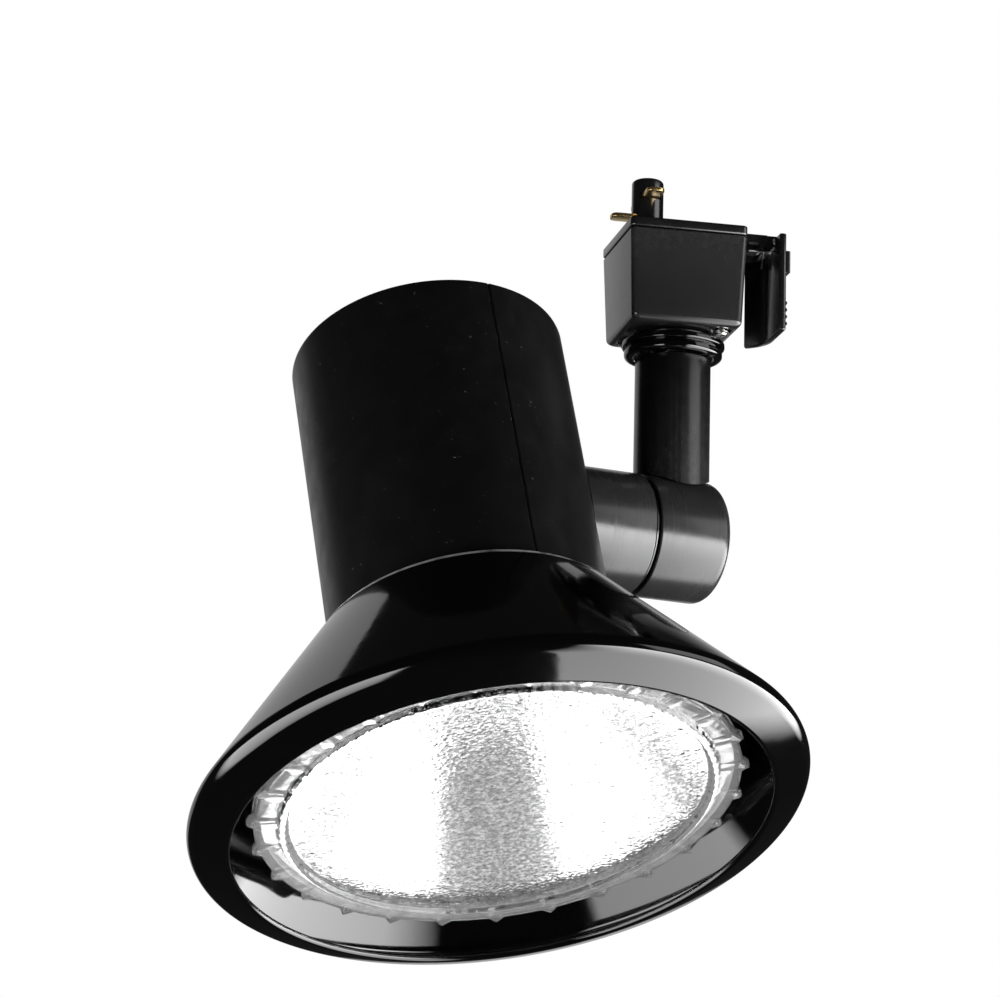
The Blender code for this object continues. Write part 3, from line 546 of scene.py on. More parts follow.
look(
    "porcelain", (0.84, 0.83, 0.79), (0.5, 0.45, 0.38), (1500, 2, 0.68, 0.75), (0.15,), None,
    (220, 2, 0.15, 0.1 * MM), Coat_Weight=0.6,
)
sleeving_look()
lens_look()
# The moulded glass round the lamp's face, which is a little frosted.
look(
    "flange_glass", grey(0.4), grey(0.7), (260, 3), (0.06, 0.14), (400, 3), Transmission_Weight=0.88,
    IOR=1.46,
)
look(
    "clear_glass", (0.97, 0.98, 0.98), None, None, (0.01,), None, (200, 2, 0.1, 0.1 * MM),
    Transmission_Weight=1.0, IOR=1.46,
)
# The reflector: its silvering, the outside, the unsilvered rim and the white inside of the neck.
look(
    "silvered_glass", grey(0.9), None, None, (0.08, 0.2), (350, 4), (240, 2, 0.25, 0.2 * MM), Metallic=1.0,
    Emission_Color=WHITE, Emission_Strength=0.65,
)
look("silvered_back", (0.55, 0.56, 0.57), None, None, (0.1, 0.25), (200, 4), Metallic=0.9, Coat_Weight=1.0)
look("bare_rim", grey(0.2), grey(0.34), (500, 3), (0.25,), None, (300, 2, 0.3, 0.2 * MM))
look(
    "neck_glass", grey(0.8), grey(0.95), (200, 3), (0.4,), None, Emission_Color=WHITE, Emission_Strength=0.9
)
# A painted highlight: a lighter, partly metallic band just below the shade's shoulder, for the bright line
# along the shade's top edge.
look(
    "painted_highlight_edge", grey(0.02), grey(0.6), (160, 4, 0.38, 0.5), (0.35,), None, (900, 3, 0.3, 0.05 * MM),
    Metallic=0.3,
)


# Small hardware


def drill(radius, low, high, steps=24):
    """A round cutter, with its sizes in millimetres."""
    return rod("drill", radius * MM, low * MM, high * MM, steps)


def thread(radius, depth, pitch, low, high):
    """A warp that cuts a helical thread into the surface at radius, fading out at its two ends."""

    def warp(r, z, angle):
        if abs(r - radius) > 1e-6 or not low < z < high:
            return r, z
        fade = min(1, (z - low) / pitch, (high - z) / pitch)
        return r - fade * depth * (0.5 - 0.5 * math.cos(TURN * z / pitch + angle)), z

    return warp


def threaded_ring(name, bore, radius, low, high, pitch, depth, steps=36):
    """A tube with an outside thread: four rows of points for each turn."""
    rows = divided((radius, high), (radius, low), round((high - low) / pitch * 4))
    profile = [
        (radius - depth, high), *rows, (radius, low), (radius - depth, low), (bore, low), (bore, high)
    ]
    return lathe(name, profile, steps, thread(radius, depth, pitch, low, high))


def screw(name, place, body, *sizes):
    """A pan head with a cross recess above the origin, and a threaded shank below it.

    sizes are the head's radius and height and the shank's radius and length, in millimetres.
    """
    head_r, head_height, shank_r, length = (size * MM for size in sizes)
    pitch, depth = 0.7 * shank_r, 0.18 * shank_r
    shank_top, shank_end = -0.4 * MM, -length + 0.4 * MM
    head = [(0, head_height), *arc((head_r * 0.45, head_height * 0.3), head_height * 0.7, 90, 20, 5)]
    head = [(min(r, head_r), z) for r, z in head] + [(head_r, head_height * 0.35), (head_r, 0)]
    shank = divided((shank_r, shank_top), (shank_r, shank_end), round((shank_top - shank_end) / pitch * 4))
    profile = [*head, (shank_r, 0), *shank, (shank_r, shank_end), (shank_r * 0.6, -length), (0, -length)]
    mesh = lathe(name, profile, 24, thread(shank_r, depth, pitch, shank_end, shank_top))
    made = add(name + "_cross_head", mesh, place, body, "steel", name)
    slot_half, slot_depth = head_r * 0.14, head_height * 0.6
    for reach in ((head_r * 0.6, slot_half), (slot_half, head_r * 0.6)):
        low = (-reach[0], -reach[1], head_height - slot_depth)
        cut(made, (block("recess", low, (*reach, head_height + MM)), place))
    return made


def hex_nut(name, place, body, flats, low, high, bore):
    corner_r, chamfer = flats / math.sqrt(3), 0.5 * MM
    profile = [
        (corner_r - 2 * chamfer, high),
        (corner_r, high - chamfer),
        (corner_r, low + chamfer),
        (corner_r - 2 * chamfer, low),
        (bore, low),
        (bore, high),
    ]

    def flatten(r, z, angle):
        across = (angle + TURN / 12) % (TURN / 6) - TURN / 12
        return min(r, flats / 2 / math.cos(across)), z

    return turned(name + "_hex", profile, 96, place, body, "brass", name, warp=flatten)


def tube(bm, route, radius, sides=10):
    """Adds a round tube along the points to the mesh in the making."""
    way = (route[1] - route[0]).normalized()
    across = way.orthogonal().normalized()
    rows = []
    for i, point in enumerate(route):
        ahead = route[min(i + 1, len(route) - 1)] - route[max(i - 1, 0)]
        way = ahead.normalized()
        across = (across - across.dot(way) * way).normalized()
        up = way.cross(across)
        spokes = [(math.cos(TURN * k / sides), math.sin(TURN * k / sides)) for k in range(sides)]
        rows.append([bm.verts.new(point + radius * (c * across + s * up)) for c, s in spokes])
    for upper, lower in zip(rows, rows[1:]):
        for i in range(sides):
            j = (i + 1) % sides
            bm.faces.new((upper[i], upper[j], lower[j], lower[i]))
    bm.faces.new(rows[0])
    bm.faces.new(rows[-1])


def evenly(route, step):
    """The route's points, one every step along it."""
    points, walked, wanted = [route[0]], 0.0, step
    for start, end in zip(route, route[1:]):
        length = (end - start).length
        while wanted <= walked + length:
            points.append(start.lerp(end, (wanted - walked) / length))
            wanted += step
        walked += length
    return points + ([route[-1]] if (route[-1] - points[-1]).length > step / 4 else [])


def twisted_pair(name, route, place, body):
    """Two sleeved wires laid round each other along the route of the lead."""
    bm = bmesh.new()
    wire_r, lay, step = 0.72 * MM, 14 * MM, 0.8 * MM
    middle = evenly([Vector(point) for point in route], step)
    for _ in range(3):
        inner = [(a + b * 2 + c) / 4 for a, b, c in zip(middle, middle[1:], middle[2:])]
        middle = [middle[0], *inner, middle[-1]]
    for start in (0, math.pi):
        across, wire = Vector((0, 1, 0)), []
        for i, point in enumerate(middle):
            way = (middle[min(i + 1, len(middle) - 1)] - middle[max(i - 1, 0)]).normalized()
            across = (across - across.dot(way) * way).normalized()
            angle = start + TURN * i * step / lay
            side = math.cos(angle) * across + math.sin(angle) * way.cross(across)
            wire.append(point + 0.74 * MM * side)
        tube(bm, wire, wire_r)
    return add(name + "_pair", finish_mesh(name, bm, 60), place, body, "sleeving", name)


# Adapter


def box_ring(z, inset, fillet):
    """The box's outline at a height, drawn in by inset; the box narrows towards its floor."""
    share = z / BOX_FLOOR_Z
    half_x, half_y = [top + (foot - top) * share - inset for top, foot in zip(BOX_HALF, BOX_FOOT_HALF)]
    corners = [(half_x, -half_y), (half_x, half_y), (-half_x, half_y), (-half_x, -half_y)]
    return [(x, y, z) for x, y in rounded([(x, y, fillet) for x, y in corners], 6)]


def adapter_box():
    edge, top_z, inner_floor = 1.3 * MM, -COVER_THICKNESS - GAP, BOX_FLOOR_Z + 2 * MM
    rings = []
    for i in range(6, -1, -1):
        t = math.pi / 2 * i / 6
        rings.append(box_ring(BOX_FLOOR_Z + edge * (1 - math.sin(t)), edge * (1 - math.cos(t)), 1.4))
    rings += [box_ring(top_z - 0.25 * MM, 0, 1.1), box_ring(top_z, 0.2 * MM, 1.0)]
    rings += [box_ring(z, BOX_WALL, 0.8) for z in (top_z, inner_floor)]
    box = add(
        "adapter_box", loft("adapter_box", rings), ADAPTER, "adapter", "satin_black", "adapter_housing"
    )
    columns, drills = [], [(rod("drill", 5.8 * MM, -30 * MM, -10 * MM), ADAPTER)]
    for x, y in BOX_SCREW_SPOTS:
        spot = moved(x, y, 0)
        columns.append((rod("column", 2.1 * MM, BOX_FLOOR_Z + 1 * MM, -6.4 * MM, 32), spot))
        drills.append((rod("drill", 1.25 * MM, -30 * MM, 0, 24), spot))
        drills.append((rod("sink", 2.3 * MM, -30 * MM, BOX_FLOOR_Z + 0.35 * MM, 32), spot))
    cut(box, *columns, operation="UNION")
    cut(box, *drills)
    repaint(box, "box_black")


def adapter_lid():
    half_x, _ = BOX_HALF
    outline = [(x, y) for x, y, _ in box_ring(0, 0, 1.2)]
    lid = add(
        "adapter_lid", plate("adapter_lid", outline, -COVER_THICKNESS, 0), ADAPTER, "adapter",
        "black_plastic", "adapter_cover",
    )
    soften(lid, 0.3 * MM)
    pin_x, _, pin_z = LEVER_PIN
    ear = rounded(
        [
            (pin_x - 3 * MM, -2.7 * MM, 0), (pin_x + 1.2 * MM, -2.7 * MM, 1.1),
            (pin_x + 1.2 * MM, -0.25 * MM, 0.9), (pin_x - 3 * MM, -0.25 * MM, 0),
        ],
        6,
    )
    tongue_high, tongue_low = -0.15 * MM, 0.1 * MM - COVER_THICKNESS
    tongue = block("tongue", (half_x - 3 * MM, -8 * MM, tongue_low), (pin_x - 2 * MM, 8 * MM, tongue_high))
    joined = [(tongue, ADAPTER)]
    upright = Matrix(((1, 0, 0, 0), (0, 0, -1, 0), (0, 1, 0, 0), (0, 0, 0, 1)))
    for start in (-8 * MM, 5 * MM):
        joined.append((plate("ear", ear, -start - 3 * MM, -start), upright))
    for x, y in BOX_SCREW_SPOTS:
        joined.append((rod("boss", 2.0 * MM, -6 * MM, -1 * MM, 32), moved(x, y, 0)))
    cut(lid, *joined, operation="UNION")
    drills = [(rod("drill", POST_R + GAP, -5 * MM, 5 * MM, 64), moved(POST_X, 0, 0))]
    drills.append((drill(0.9, -12, 12), upright @ moved(pin_x, pin_z, 0)))
    for x, y in BOX_SCREW_SPOTS:
        drills.append((drill(1.2, -8, -1.5), moved(x, y, 0)))
    cut(lid, *drills)


def contacts():
    flange_r, under = 4.6 * MM, -COVER_THICKNESS - GAP
    corners = [
        (0, POST_TOP_Z, 0),
        (POST_R, POST_TOP_Z, 0.8),
        (POST_R, under, 0.1),
        (flange_r, under, 0.25),
        (flange_r, under - 2.3 * MM, 0.25),
        (0, under - 2.3 * MM, 0),
    ]
    stand = moved(POST_X, 0, 0)
    post = turned(
        "contact_column", capped(corners, 4), 64, stand, "adapter", "black_plastic", "contact_post"
    )
    width, thickness, root, reach = 3.8 * MM, 0.8 * MM, 2.0 * MM, 8.0 * MM
    half_w, half_t = width / 2 + GAP, thickness / 2 + GAP
    tip, heel = 1.3, 0.1
    outline = [
        (root, -width / 2, heel), (reach, -width / 2, tip), (reach, width / 2, tip), (root, width / 2, heel)
    ]
    blades = (
        ("live_contact", -90, BLADE_Z), ("neutral_contact", 90, BLADE_Z), ("ground_contact", 180, GROUND_Z)
    )
    for name, degrees, height in blades:
        place = stand @ moved(0, 0, height) @ Matrix.Rotation(math.radians(degrees), 4, "Z")
        pocket = block("pocket", (root - GAP, -half_w, -half_t), (reach, half_w, half_t))
        cut(post, (pocket, place))
        blade = add(
            name + "_blade", plate(name, rounded(outline, 5), -thickness / 2, thickness / 2), place,
            "adapter", "brass", name,
        )
        soften(blade, 0.15 * MM)


def lever():
    half, bend_r, centre = 0.75 * MM, 7.0 * MM, (13.6 * MM, -2 * MM)
    outside = [(x, y, 0) for x, y in arc(centre, bend_r + half, 0, 62, 14)]
    inside = [(x, y, 0) for x, y in arc(centre, bend_r - half, 62, 0, 14)]
    outside[-1] = (*outside[-1][:2], 0.6)
    inside[0] = (*inside[0][:2], 0.6)
    front = -12 * MM
    corners = [(LEVER_X + half, front, 0.6), *outside, *inside, (LEVER_X - half, front, 0.6)]
    mesh = plate("lever_plate", rounded(corners, 4), LEVER_BOTTOM_Z, LEVER_TOP_Z)
    plate_obj = add("lever_plate", mesh, ADAPTER, "latch", "black_plastic", "latch_lever")
    soften(plate_obj, 0.35 * MM)
    pin_x, _, pin_z = LEVER_PIN
    window = block("window", (pin_x - 9 * MM, -8.3 * MM, -3.1 * MM), (pin_x + 3 * MM, 12 * MM, MM))
    cut(plate_obj, (window, ADAPTER))
    along_y = Matrix.Translation(LEVER_PIN) @ Matrix.Rotation(math.pi / 2, 4, "X")
    web = block("web", (LEVER_X - half, -0.9 * MM, pin_z - 4 * MM), (LEVER_X + half, 1.5 * MM, pin_z))
    joined = [(web, ADAPTER), (rod("barrel", 1.2 * MM, -4.65 * MM, 0.95 * MM, 32), along_y)]
    rib_x = LEVER_X + half
    sunk, proud, near, far = rib_x - 0.5 * MM, rib_x + 0.9 * MM, -11.9 * MM, -7 * MM
    rib = rounded([(x, y, 0.4) for x, y in ((sunk, near), (proud, near), (proud, far), (sunk, far))], 4)
    joined.append((plate("rib", rib, pin_z - 7.6 * MM, pin_z - 3 * MM), ADAPTER))
    for i in range(4):
        z = LEVER_BOTTOM_Z + (1.6 + 1.5 * i) * MM
        grip = rod("grip", 0.45 * MM, -1.5 * MM, 11.2 * MM, 16)
        joined.append((grip, moved(rib_x - 0.05 * MM, 0, z) @ Matrix.Rotation(math.pi / 2, 4, "X")))
    cut(plate_obj, *joined, operation="UNION")
    cut(plate_obj, (rod("pin_hole", 0.9 * MM, -4.95 * MM, 1.25 * MM, 24), along_y))

    pin = mm((0, 7.8, 0), (0.6, 7.8, 0.2), (0.6, -7.8, 0.2), (0, -7.8, 0))
    turned("lever_pin_ground", capped(pin, 3), 24, along_y, "adapter", "steel", "lever_pin")

    bm = bmesh.new()
    coil_r, turns, pitch, start_y, per_turn = 1.15 * MM, 2.8, 0.85 * MM, -4.5 * MM, 24
    coil = []
    for i in range(int(turns * per_turn) + 1):
        angle = -math.pi / 2 + TURN * i / per_turn
        coil.append(
            Vector((coil_r * math.cos(angle), start_y + pitch * i / per_turn, coil_r * math.sin(angle)))
        )
    route = [
        Vector((coil[0].x - 5 * MM, coil[0].y, -1.3 * MM)), *coil,
        Vector((-1.5 * MM, coil[-1].y, -4.5 * MM)),
    ]
    tube(bm, route, 0.2 * MM)
    add(
        "lever_spring_coil", finish_mesh("lever_spring", bm, 60), Matrix.Translation(LEVER_PIN), "adapter",
        "steel", "lever_spring",
    )


def adapter():
    adapter_box()
    adapter_lid()
    contacts()
    lever()
    for i, (x, y) in enumerate(BOX_SCREW_SPOTS):
        place = moved(x, y, BOX_FLOOR_Z - GAP) @ Matrix.Rotation(math.pi, 4, "X")
        screw(f"housing_screw_{i + 1}", place, "adapter", 1.7, 0.8, 0.9, 18)
    floor_top, bore = BOX_FLOOR_Z + 2 * MM, NIPPLE_R + GAP
    corners = [
        (7.4 * MM, floor_top + 1.1 * MM),
        (7.4 * MM, floor_top + GAP),
        (5.5 * MM, floor_top + GAP),
        (5.5 * MM, BOX_FLOOR_Z),
        (bore, BOX_FLOOR_Z),
        (bore, floor_top + 1.1 * MM),
    ]
    bushing = rounded([(r, z, 0.2) for r, z in corners], 3)
    turned("stem_bushing_shouldered", bushing, 64, ADAPTER, "adapter", "pale_plastic", "stem_bushing")
    post_bottom = -COVER_THICKNESS - GAP - 2.3 * MM
    drop = arc((POST_X + 4 * MM, post_bottom - 1.5 * MM), 4 * MM, 180, 270, 12)
    into_stem = arc((-2.2 * MM, NIPPLE_TOP_Z + 0.7 * MM), 2.2 * MM, 90, 0, 8)
    route = [(POST_X, 0, post_bottom - GAP)] + [(x, 0, z) for x, z in drop + into_stem]
    twisted_pair("adapter_lead", route, ADAPTER, "adapter")


# Stem and knuckle


def stem():
    bore, floor_top, pivot_z = NIPPLE_R + GAP, BOX_FLOOR_Z + 2 * MM, pivot.z
    washer_low = floor_top + 1.4 * MM
    turned(
        "stem_washer_flat", ring(bore, 7.2 * MM, washer_low, washer_low + 0.8 * MM, 0.15), 64, STEM, "stem",
        "steel", "stem_washer",
    )
    nut_low = washer_low + 1.1 * MM
    hex_nut("stem_nut", STEM, "stem", 13 * MM, nut_low, nut_low + 2.8 * MM, bore)
    seal = ring(bore, 8.6 * MM, FLANGE_TOP_Z + GAP, BOX_FLOOR_Z - GAP, 0.3)
    turned("swivel_washer_nylon", seal, 72, STEM, "stem", "black_plastic", "swivel_washer")

    lower_r, waist_z = FLANGE_R - 0.5 * MM, FLANGE_TOP_Z - 1.4 * MM
    corners = [
        (FLANGE_R, FLANGE_TOP_Z, 0.45),
        (FLANGE_R, waist_z, 0.4),
        (FLANGE_R - 1.1 * MM, waist_z, 0.1),
        (FLANGE_R - 1.1 * MM, waist_z - 0.5 * MM, 0.1),
        (lower_r, waist_z - 0.5 * MM, 0.35),
        (lower_r, FLANGE_BOTTOM_Z, 0.75),
        (STEM_R + 0.5 * MM, FLANGE_BOTTOM_Z, 0.2),
        (STEM_R + 0.4 * MM, FLANGE_BOTTOM_Z + 0.5 * MM, 0.1),
        (bore, FLANGE_BOTTOM_Z + 0.5 * MM, 0.1),
        (bore, FLANGE_TOP_Z, 0.1),
    ]
    turned("swivel_collar", rounded(corners, 5), 96, STEM, "stem", "black_enamel", "swivel_flange")

    sleeve_ring = ring(bore, STEM_R, pivot_z, FLANGE_BOTTOM_Z - GAP)
    sleeve = turned("stem_tube", sleeve_ring, 128, STEM, "stem", "satin_black", "stem_sleeve")
    cut(sleeve, (rod("saddle", KNUCKLE_R + GAP, -16 * MM, 16 * MM, 160), OUTER_KNUCKLE))
    repaint(sleeve, "stem_black")
    nipple = threaded_ring(
        "nipple", NIPPLE_BORE_R, NIPPLE_R, pivot_z + 5 * MM, NIPPLE_TOP_Z, 1.0 * MM, 0.3 * MM
    )
    add("threaded_nipple_m10", nipple, STEM, "stem", "steel", "threaded_nipple")

    bend = arc((-5 * MM, pivot_z + 5 * MM), 5 * MM, 0, -90, 12)
    bent = [(x, 0, z) for x, z in bend]
    route = [(0, 0, NIPPLE_TOP_Z + GAP), (0, 0, -40 * MM), *bent, (-29 * MM, 0, pivot_z)]
    twisted_pair("stem_lead", route, STEM, "stem")


def knuckle():
    bore = NIPPLE_R + GAP
    outer_face, inner_face = KNUCKLE_SEAM + 0.5 * MM, KNUCKLE_SEAM - 0.5 * MM
    corners = [
        (0, KNUCKLE_END, 0),
        (KNUCKLE_R * 0.5, KNUCKLE_END - 0.2 * MM, 2),
        (KNUCKLE_R, KNUCKLE_END - 0.75 * MM, 2.2),
        (KNUCKLE_R, outer_face, 0.4),
        (bore, outer_face, 0.2),
        (bore, 5 * MM, 0),
        (0, 5 * MM, 0),
    ]
    outer = turned(
        "knuckle_outer_turned", capped(corners, 6), 144, OUTER_KNUCKLE, "stem", "gunmetal", "knuckle_outer"
    )
    cut(outer, (rod("nipple_hole", bore, 0, 20 * MM, 64), Matrix.Translation(pivot)))

    root = -HEAD_OFFSET + CYLINDER_R - 6 * MM
    profile = rounded(
        [(KNUCKLE_R, inner_face, 0.4), (KNUCKLE_R, root, 0), (bore, root, 0), (bore, inner_face, 0.2)], 4
    )
    inner = turned("knuckle_inner_turned", profile, 144, INNER_KNUCKLE, "head", "gunmetal", "knuckle_inner")
    cut(inner, (rod("saddle", CYLINDER_R + GAP, 40 * MM, 110 * MM, 288), HEAD))

    washer = ring(bore, KNUCKLE_R - 0.7 * MM, outer_face - 0.7 * MM, outer_face - GAP, 0.1)
    turned("friction_washer_nylon", washer, 96, OUTER_KNUCKLE, "stem", "black_plastic", "friction_washer")
    pivot_tip = -HEAD_OFFSET + 21.9 * MM
    nipple = threaded_ring(
        "pivot_nipple", NIPPLE_BORE_R, NIPPLE_R, pivot_tip, -5.5 * MM, 1.0 * MM, 0.3 * MM
    )
    add("pivot_nipple_m10", nipple, OUTER_KNUCKLE, "stem", "steel", "pivot_nipple")
    inside = -HEAD_OFFSET + CYLINDER_R - CYLINDER_WALL - 1.5 * MM
    disc = ring(bore, 7.4 * MM, inside - 0.8 * MM, inside, 0.15)
    turned("pivot_washer_spring", disc, 64, OUTER_KNUCKLE, "stem", "steel", "pivot_washer")
    nut_high = inside - 0.8 * MM - GAP
    hex_nut("pivot_nut", OUTER_KNUCKLE, "stem", 12 * MM, nut_high - 2.8 * MM, nut_high, bore)


# Head


def seam(r, z, angle):
    """The butt joint of the rolled tube: a narrow wandering groove with a slight ridge beside it."""
    if r < CYLINDER_R - 0.4 * MM:
        return r, z
    wander = 0.14 * MM * noise.noise((z * 350, 0, 0)) + 0.05 * MM * noise.noise((z * 1500, 5, 0))
    off = (angle - SEAM_ANGLE) * CYLINDER_R - wander
    groove = 0.26 * MM * math.exp(-((off / (0.14 * MM)) ** 2))
    ridge = 0.05 * MM * math.exp(-(((off - 0.45 * MM) / (0.25 * MM)) ** 2))
    return min(r - groove + ridge, CYLINDER_R + 0.05 * MM), z


def radial(degrees, radius, height):
    """A place on the cylinder's wall whose Z points outwards."""
    turn = Matrix.Rotation(math.radians(degrees), 4, "Z")
    return HEAD @ turn @ moved(radius, 0, height) @ Matrix.Rotation(math.pi / 2, 4, "Y")


def cylinder():
    inner, rim = CYLINDER_R - CYLINDER_WALL, 0.35 * MM
    lip_top, lip_bottom, lip_r = SHADE_TOP - 1.5 * MM, SHADE_TOP - 2.6 * MM, 29.8 * MM
    profile = [
        *arc((CYLINDER_R - rim, CYLINDER_TOP - rim), rim, 90, 0, 4),
        *divided((CYLINDER_R, CYLINDER_TOP - 1 * MM), (CYLINDER_R, lip_top), 90),
        (CYLINDER_R, lip_top),
        (lip_r, lip_top),
        (lip_r, lip_bottom),
        (inner, lip_bottom),
        (inner, CYLINDER_TOP - rim),
        (inner + rim, CYLINDER_TOP),
    ]
    offsets = (-1.2, -0.7, -0.4, -0.25, -0.15, -0.05, 0.05, 0.15, 0.25, 0.4, 0.7, 1.2)
    near = [SEAM_ANGLE + off * MM / CYLINDER_R for off in offsets]
    angles = [TURN * i / 180 - math.pi for i in range(180)]
    angles = sorted([a for a in angles if abs(a - SEAM_ANGLE) * CYLINDER_R > 1.4 * MM] + near)
    tube_mesh = lathe("cylinder_tube", profile, warp=seam, angles=angles)
    obj = add("cylinder_tube", tube_mesh, HEAD, "head", "satin_black", "cylinder_housing")
    drills = [(rod("drill", NIPPLE_R + GAP, -35 * MM, -15 * MM, 64), INNER_KNUCKLE)]
    cap_drills = []
    for degrees in (60, 120):
        cap_drills.append((drill(1.2, -6, 6), radial(degrees, CYLINDER_R, 107.4 * MM)))
    cut(obj, *drills, *cap_drills)

    rim_r = CYLINDER_R - CYLINDER_WALL - GAP
    thickness = CAP_TOP - CAP_UNDERSIDE
    corners = [
        (0, CAP_TOP - 0.5 * MM, 0),
        (9 * MM, CAP_TOP - 0.5 * MM, 1),
        (10 * MM, CAP_TOP, 1),
        (rim_r, CAP_TOP, 1.2),
        (rim_r, CAP_UNDERSIDE - 4 * MM, 0.2),
        (rim_r - thickness, CAP_UNDERSIDE - 4 * MM, 0.2),
        (rim_r - thickness, CAP_UNDERSIDE, 0.6),
        (0, CAP_UNDERSIDE, 0),
    ]
    cap = turned("back_cap_pressed", capped(corners, 5), 144, HEAD, "head", "satin_black", "back_cap")
    vents = []
    for i in range(6):
        spot = Matrix.Rotation(TURN * i / 6, 4, "Z") @ moved(20 * MM, 0, 0)
        vents.append((drill(2.5, 100, 120, 40), HEAD @ spot))
    for side in (-1, 1):
        vents.append((drill(1.4, 100, 120), HEAD @ moved(0, side * 13.5 * MM, 0)))
    cut(cap, *vents, *[(drill(1.2, -6, 6), place) for _, place in cap_drills])
    for i, degrees in enumerate((60, 120)):
        screw(
            f"cap_screw_{i + 1}", radial(degrees, CYLINDER_R + 0.4 * MM, 107.4 * MM), "head", 1.7, 1, 0.8, 4
        )


def shade():
    """Spun cone with a collar round the cylinder, a rounded crease, an in-turned band and a rolled hem."""
    wall, shoulder_r, crease_r, hem_r, band_normal = 1.0 * MM, 2.0 * MM, 2.6 * MM, 0.75 * MM, -66.0
    cone_normal = math.degrees(math.atan2(SHADE_MAX_R - SHADE_TOP_R, SHADE_TOP - SHADE_MAX_HEIGHT))
    shoulder = (SHADE_TOP_R - shoulder_r * 0.75, SHADE_TOP - shoulder_r)
    crease = (SHADE_MAX_R - crease_r, SHADE_MAX_HEIGHT)
    hem = (SHADE_MOUTH_R + hem_r, hem_r + 0.2 * MM)
    round_top = arc(shoulder, shoulder_r, 90, cone_normal, 9)
    round_crease = arc(crease, crease_r, cone_normal, band_normal, 16)
    highlight_foot = [a + (b - a) * 0.025 for a, b in zip(round_top[-1], round_crease[0])]
    outside = [
        (CYLINDER_R + GAP, SHADE_TOP),
        *round_top,
        highlight_foot,
        *round_crease,
        *arc(hem, hem_r, band_normal, band_normal - 200, 16),
    ]
    inside = [
        *arc(crease, crease_r - wall, band_normal, cone_normal, 12),
        *arc(shoulder, shoulder_r - wall, cone_normal, 90, 6),
        (CYLINDER_R + GAP, SHADE_TOP - wall),
    ]
    spun = turned("shade_spinning", outside + inside, 240, HEAD, "head", "black_enamel", "shade", sharp=50)
    # The faces just below the shoulder carry the painted highlight, a lighter band along the shade's top
    # edge.
    also_paint(spun, "painted_highlight_edge")
    for face in spun.data.polygons:
        outward = face.normal.dot(face.center) > 0
        if outward and highlight_foot[1] < face.center.z < round_top[-1][1]:
            face.material_index = 1


def lampholder():
    cavity_r, cavity_top, bore_r = 14.4 * MM, 99.2 * MM, 1.3 * MM
    corners = [
        (0, SOCKET_TOP, 0),
        (SOCKET_R, SOCKET_TOP, 1.6),
        (SOCKET_R, 92 * MM, 0.4),
        (SOCKET_R - 0.7 * MM, 91.5 * MM, 0.4),
        (SOCKET_R - 0.7 * MM, 90.5 * MM, 0.4),
        (SOCKET_R, 90 * MM, 0.4),
        (SOCKET_R, SOCKET_MOUTH, 0.9),
        (cavity_r, SOCKET_MOUTH, 0.6),
        (cavity_r, cavity_top, 0.4),
        (0, cavity_top, 0),
    ]
    body = turned("lampholder_body", capped(corners, 5), 96, HEAD, "head", "porcelain", "socket_body")
    shell_low, shell_high, bore = SOCKET_MOUTH + 0.6 * MM, 96 * MM, BASE_R + GAP
    rows = divided((bore, shell_low), (bore, shell_high), round((shell_high - shell_low) / BASE_PITCH * 12))
    outer_r = cavity_r - GAP
    cut_thread = thread(bore, -0.35 * MM, BASE_PITCH, shell_low, shell_high)
    shell = lathe(
        "screw_shell", [*rows, (bore, shell_high), (outer_r, shell_high), (outer_r, shell_low)], 96,
        cut_thread,
    )
    add("screw_shell_rolled", shell, HEAD, "head", "copper", "socket_screw_shell")
    contact = capped(mm((0, 98.9, 0), (4, 98.9, 0.2), (4, 98.4, 0.2), (0, 98.4, 0)), 3)
    turned("centre_contact", contact, 48, HEAD, "head", "brass", "socket_contact")

    flat_low, foot_high, thickness = SOCKET_TOP + GAP, CAP_UNDERSIDE - GAP, 1 * MM
    knee, reach, half_w = 9 * MM, 17 * MM, 5 * MM
    half = [
        (reach, foot_high - thickness, 0.2),
        (knee + thickness, foot_high - thickness, 0.3),
        (knee + thickness, flat_low, 0.9),
    ]
    top = [(knee, flat_low + thickness, 0.3), (knee, foot_high, 0.9), (reach, foot_high, 0.2)]
    mirrored = [(-y, z, f) for y, z, f in half[::-1]], [(-y, z, f) for y, z, f in top[::-1]]
    outline = rounded([*half, *mirrored[0], *mirrored[1], *top], 4)
    sideways = HEAD @ Matrix(((0, 0, 1, 0), (1, 0, 0, 0), (0, 1, 0, 0), (0, 0, 0, 1)))
    bracket = add(
        "bracket_bent", plate("bracket", outline, -half_w, half_w), sideways, "head", "steel",
        "socket_bracket",
    )
    drills = []
    for i, side in enumerate((-1, 1)):
        inner = HEAD @ moved(0, side * 6 * MM, 0)
        outer = HEAD @ moved(0, side * 13.5 * MM, 0)
        drills += [
            (rod("drill", bore_r, 101 * MM, 109 * MM, 24), inner),
            (rod("drill", bore_r, 106 * MM, 112 * MM, 24), outer),
        ]
        screw(
            f"socket_screw_{i + 1}", inner @ moved(0, 0, flat_low + thickness + GAP), "head", 2, 1.2, 0.9,
            4.6,
        )
        screw(f"bracket_screw_{i + 1}", outer @ moved(0, 0, CAP_TOP + GAP), "head", 2.1, 1.1, 0.9, 4)
    cut(bracket, *drills)
    cut(body, drills[0], drills[2])

    start_x, riser_x, top_z = HEAD_OFFSET - 29.4 * MM, 18.6 * MM, 107.6 * MM
    first = arc((start_x, PIVOT_HEIGHT + 2.3 * MM), start_x - riser_x, 270, 180, 8)
    second = arc((riser_x - 3 * MM, top_z - 3 * MM), 3 * MM, 0, 90, 8)
    last = arc((9.5 * MM, top_z - 1.5 * MM), 1.5 * MM, 90, 180, 6)
    route = [(x, 0, z) for x, z in first + second + last] + [(8 * MM, 0, SOCKET_TOP + GAP)]
    twisted_pair("head_lead", route, HEAD, "head")


# Lamp


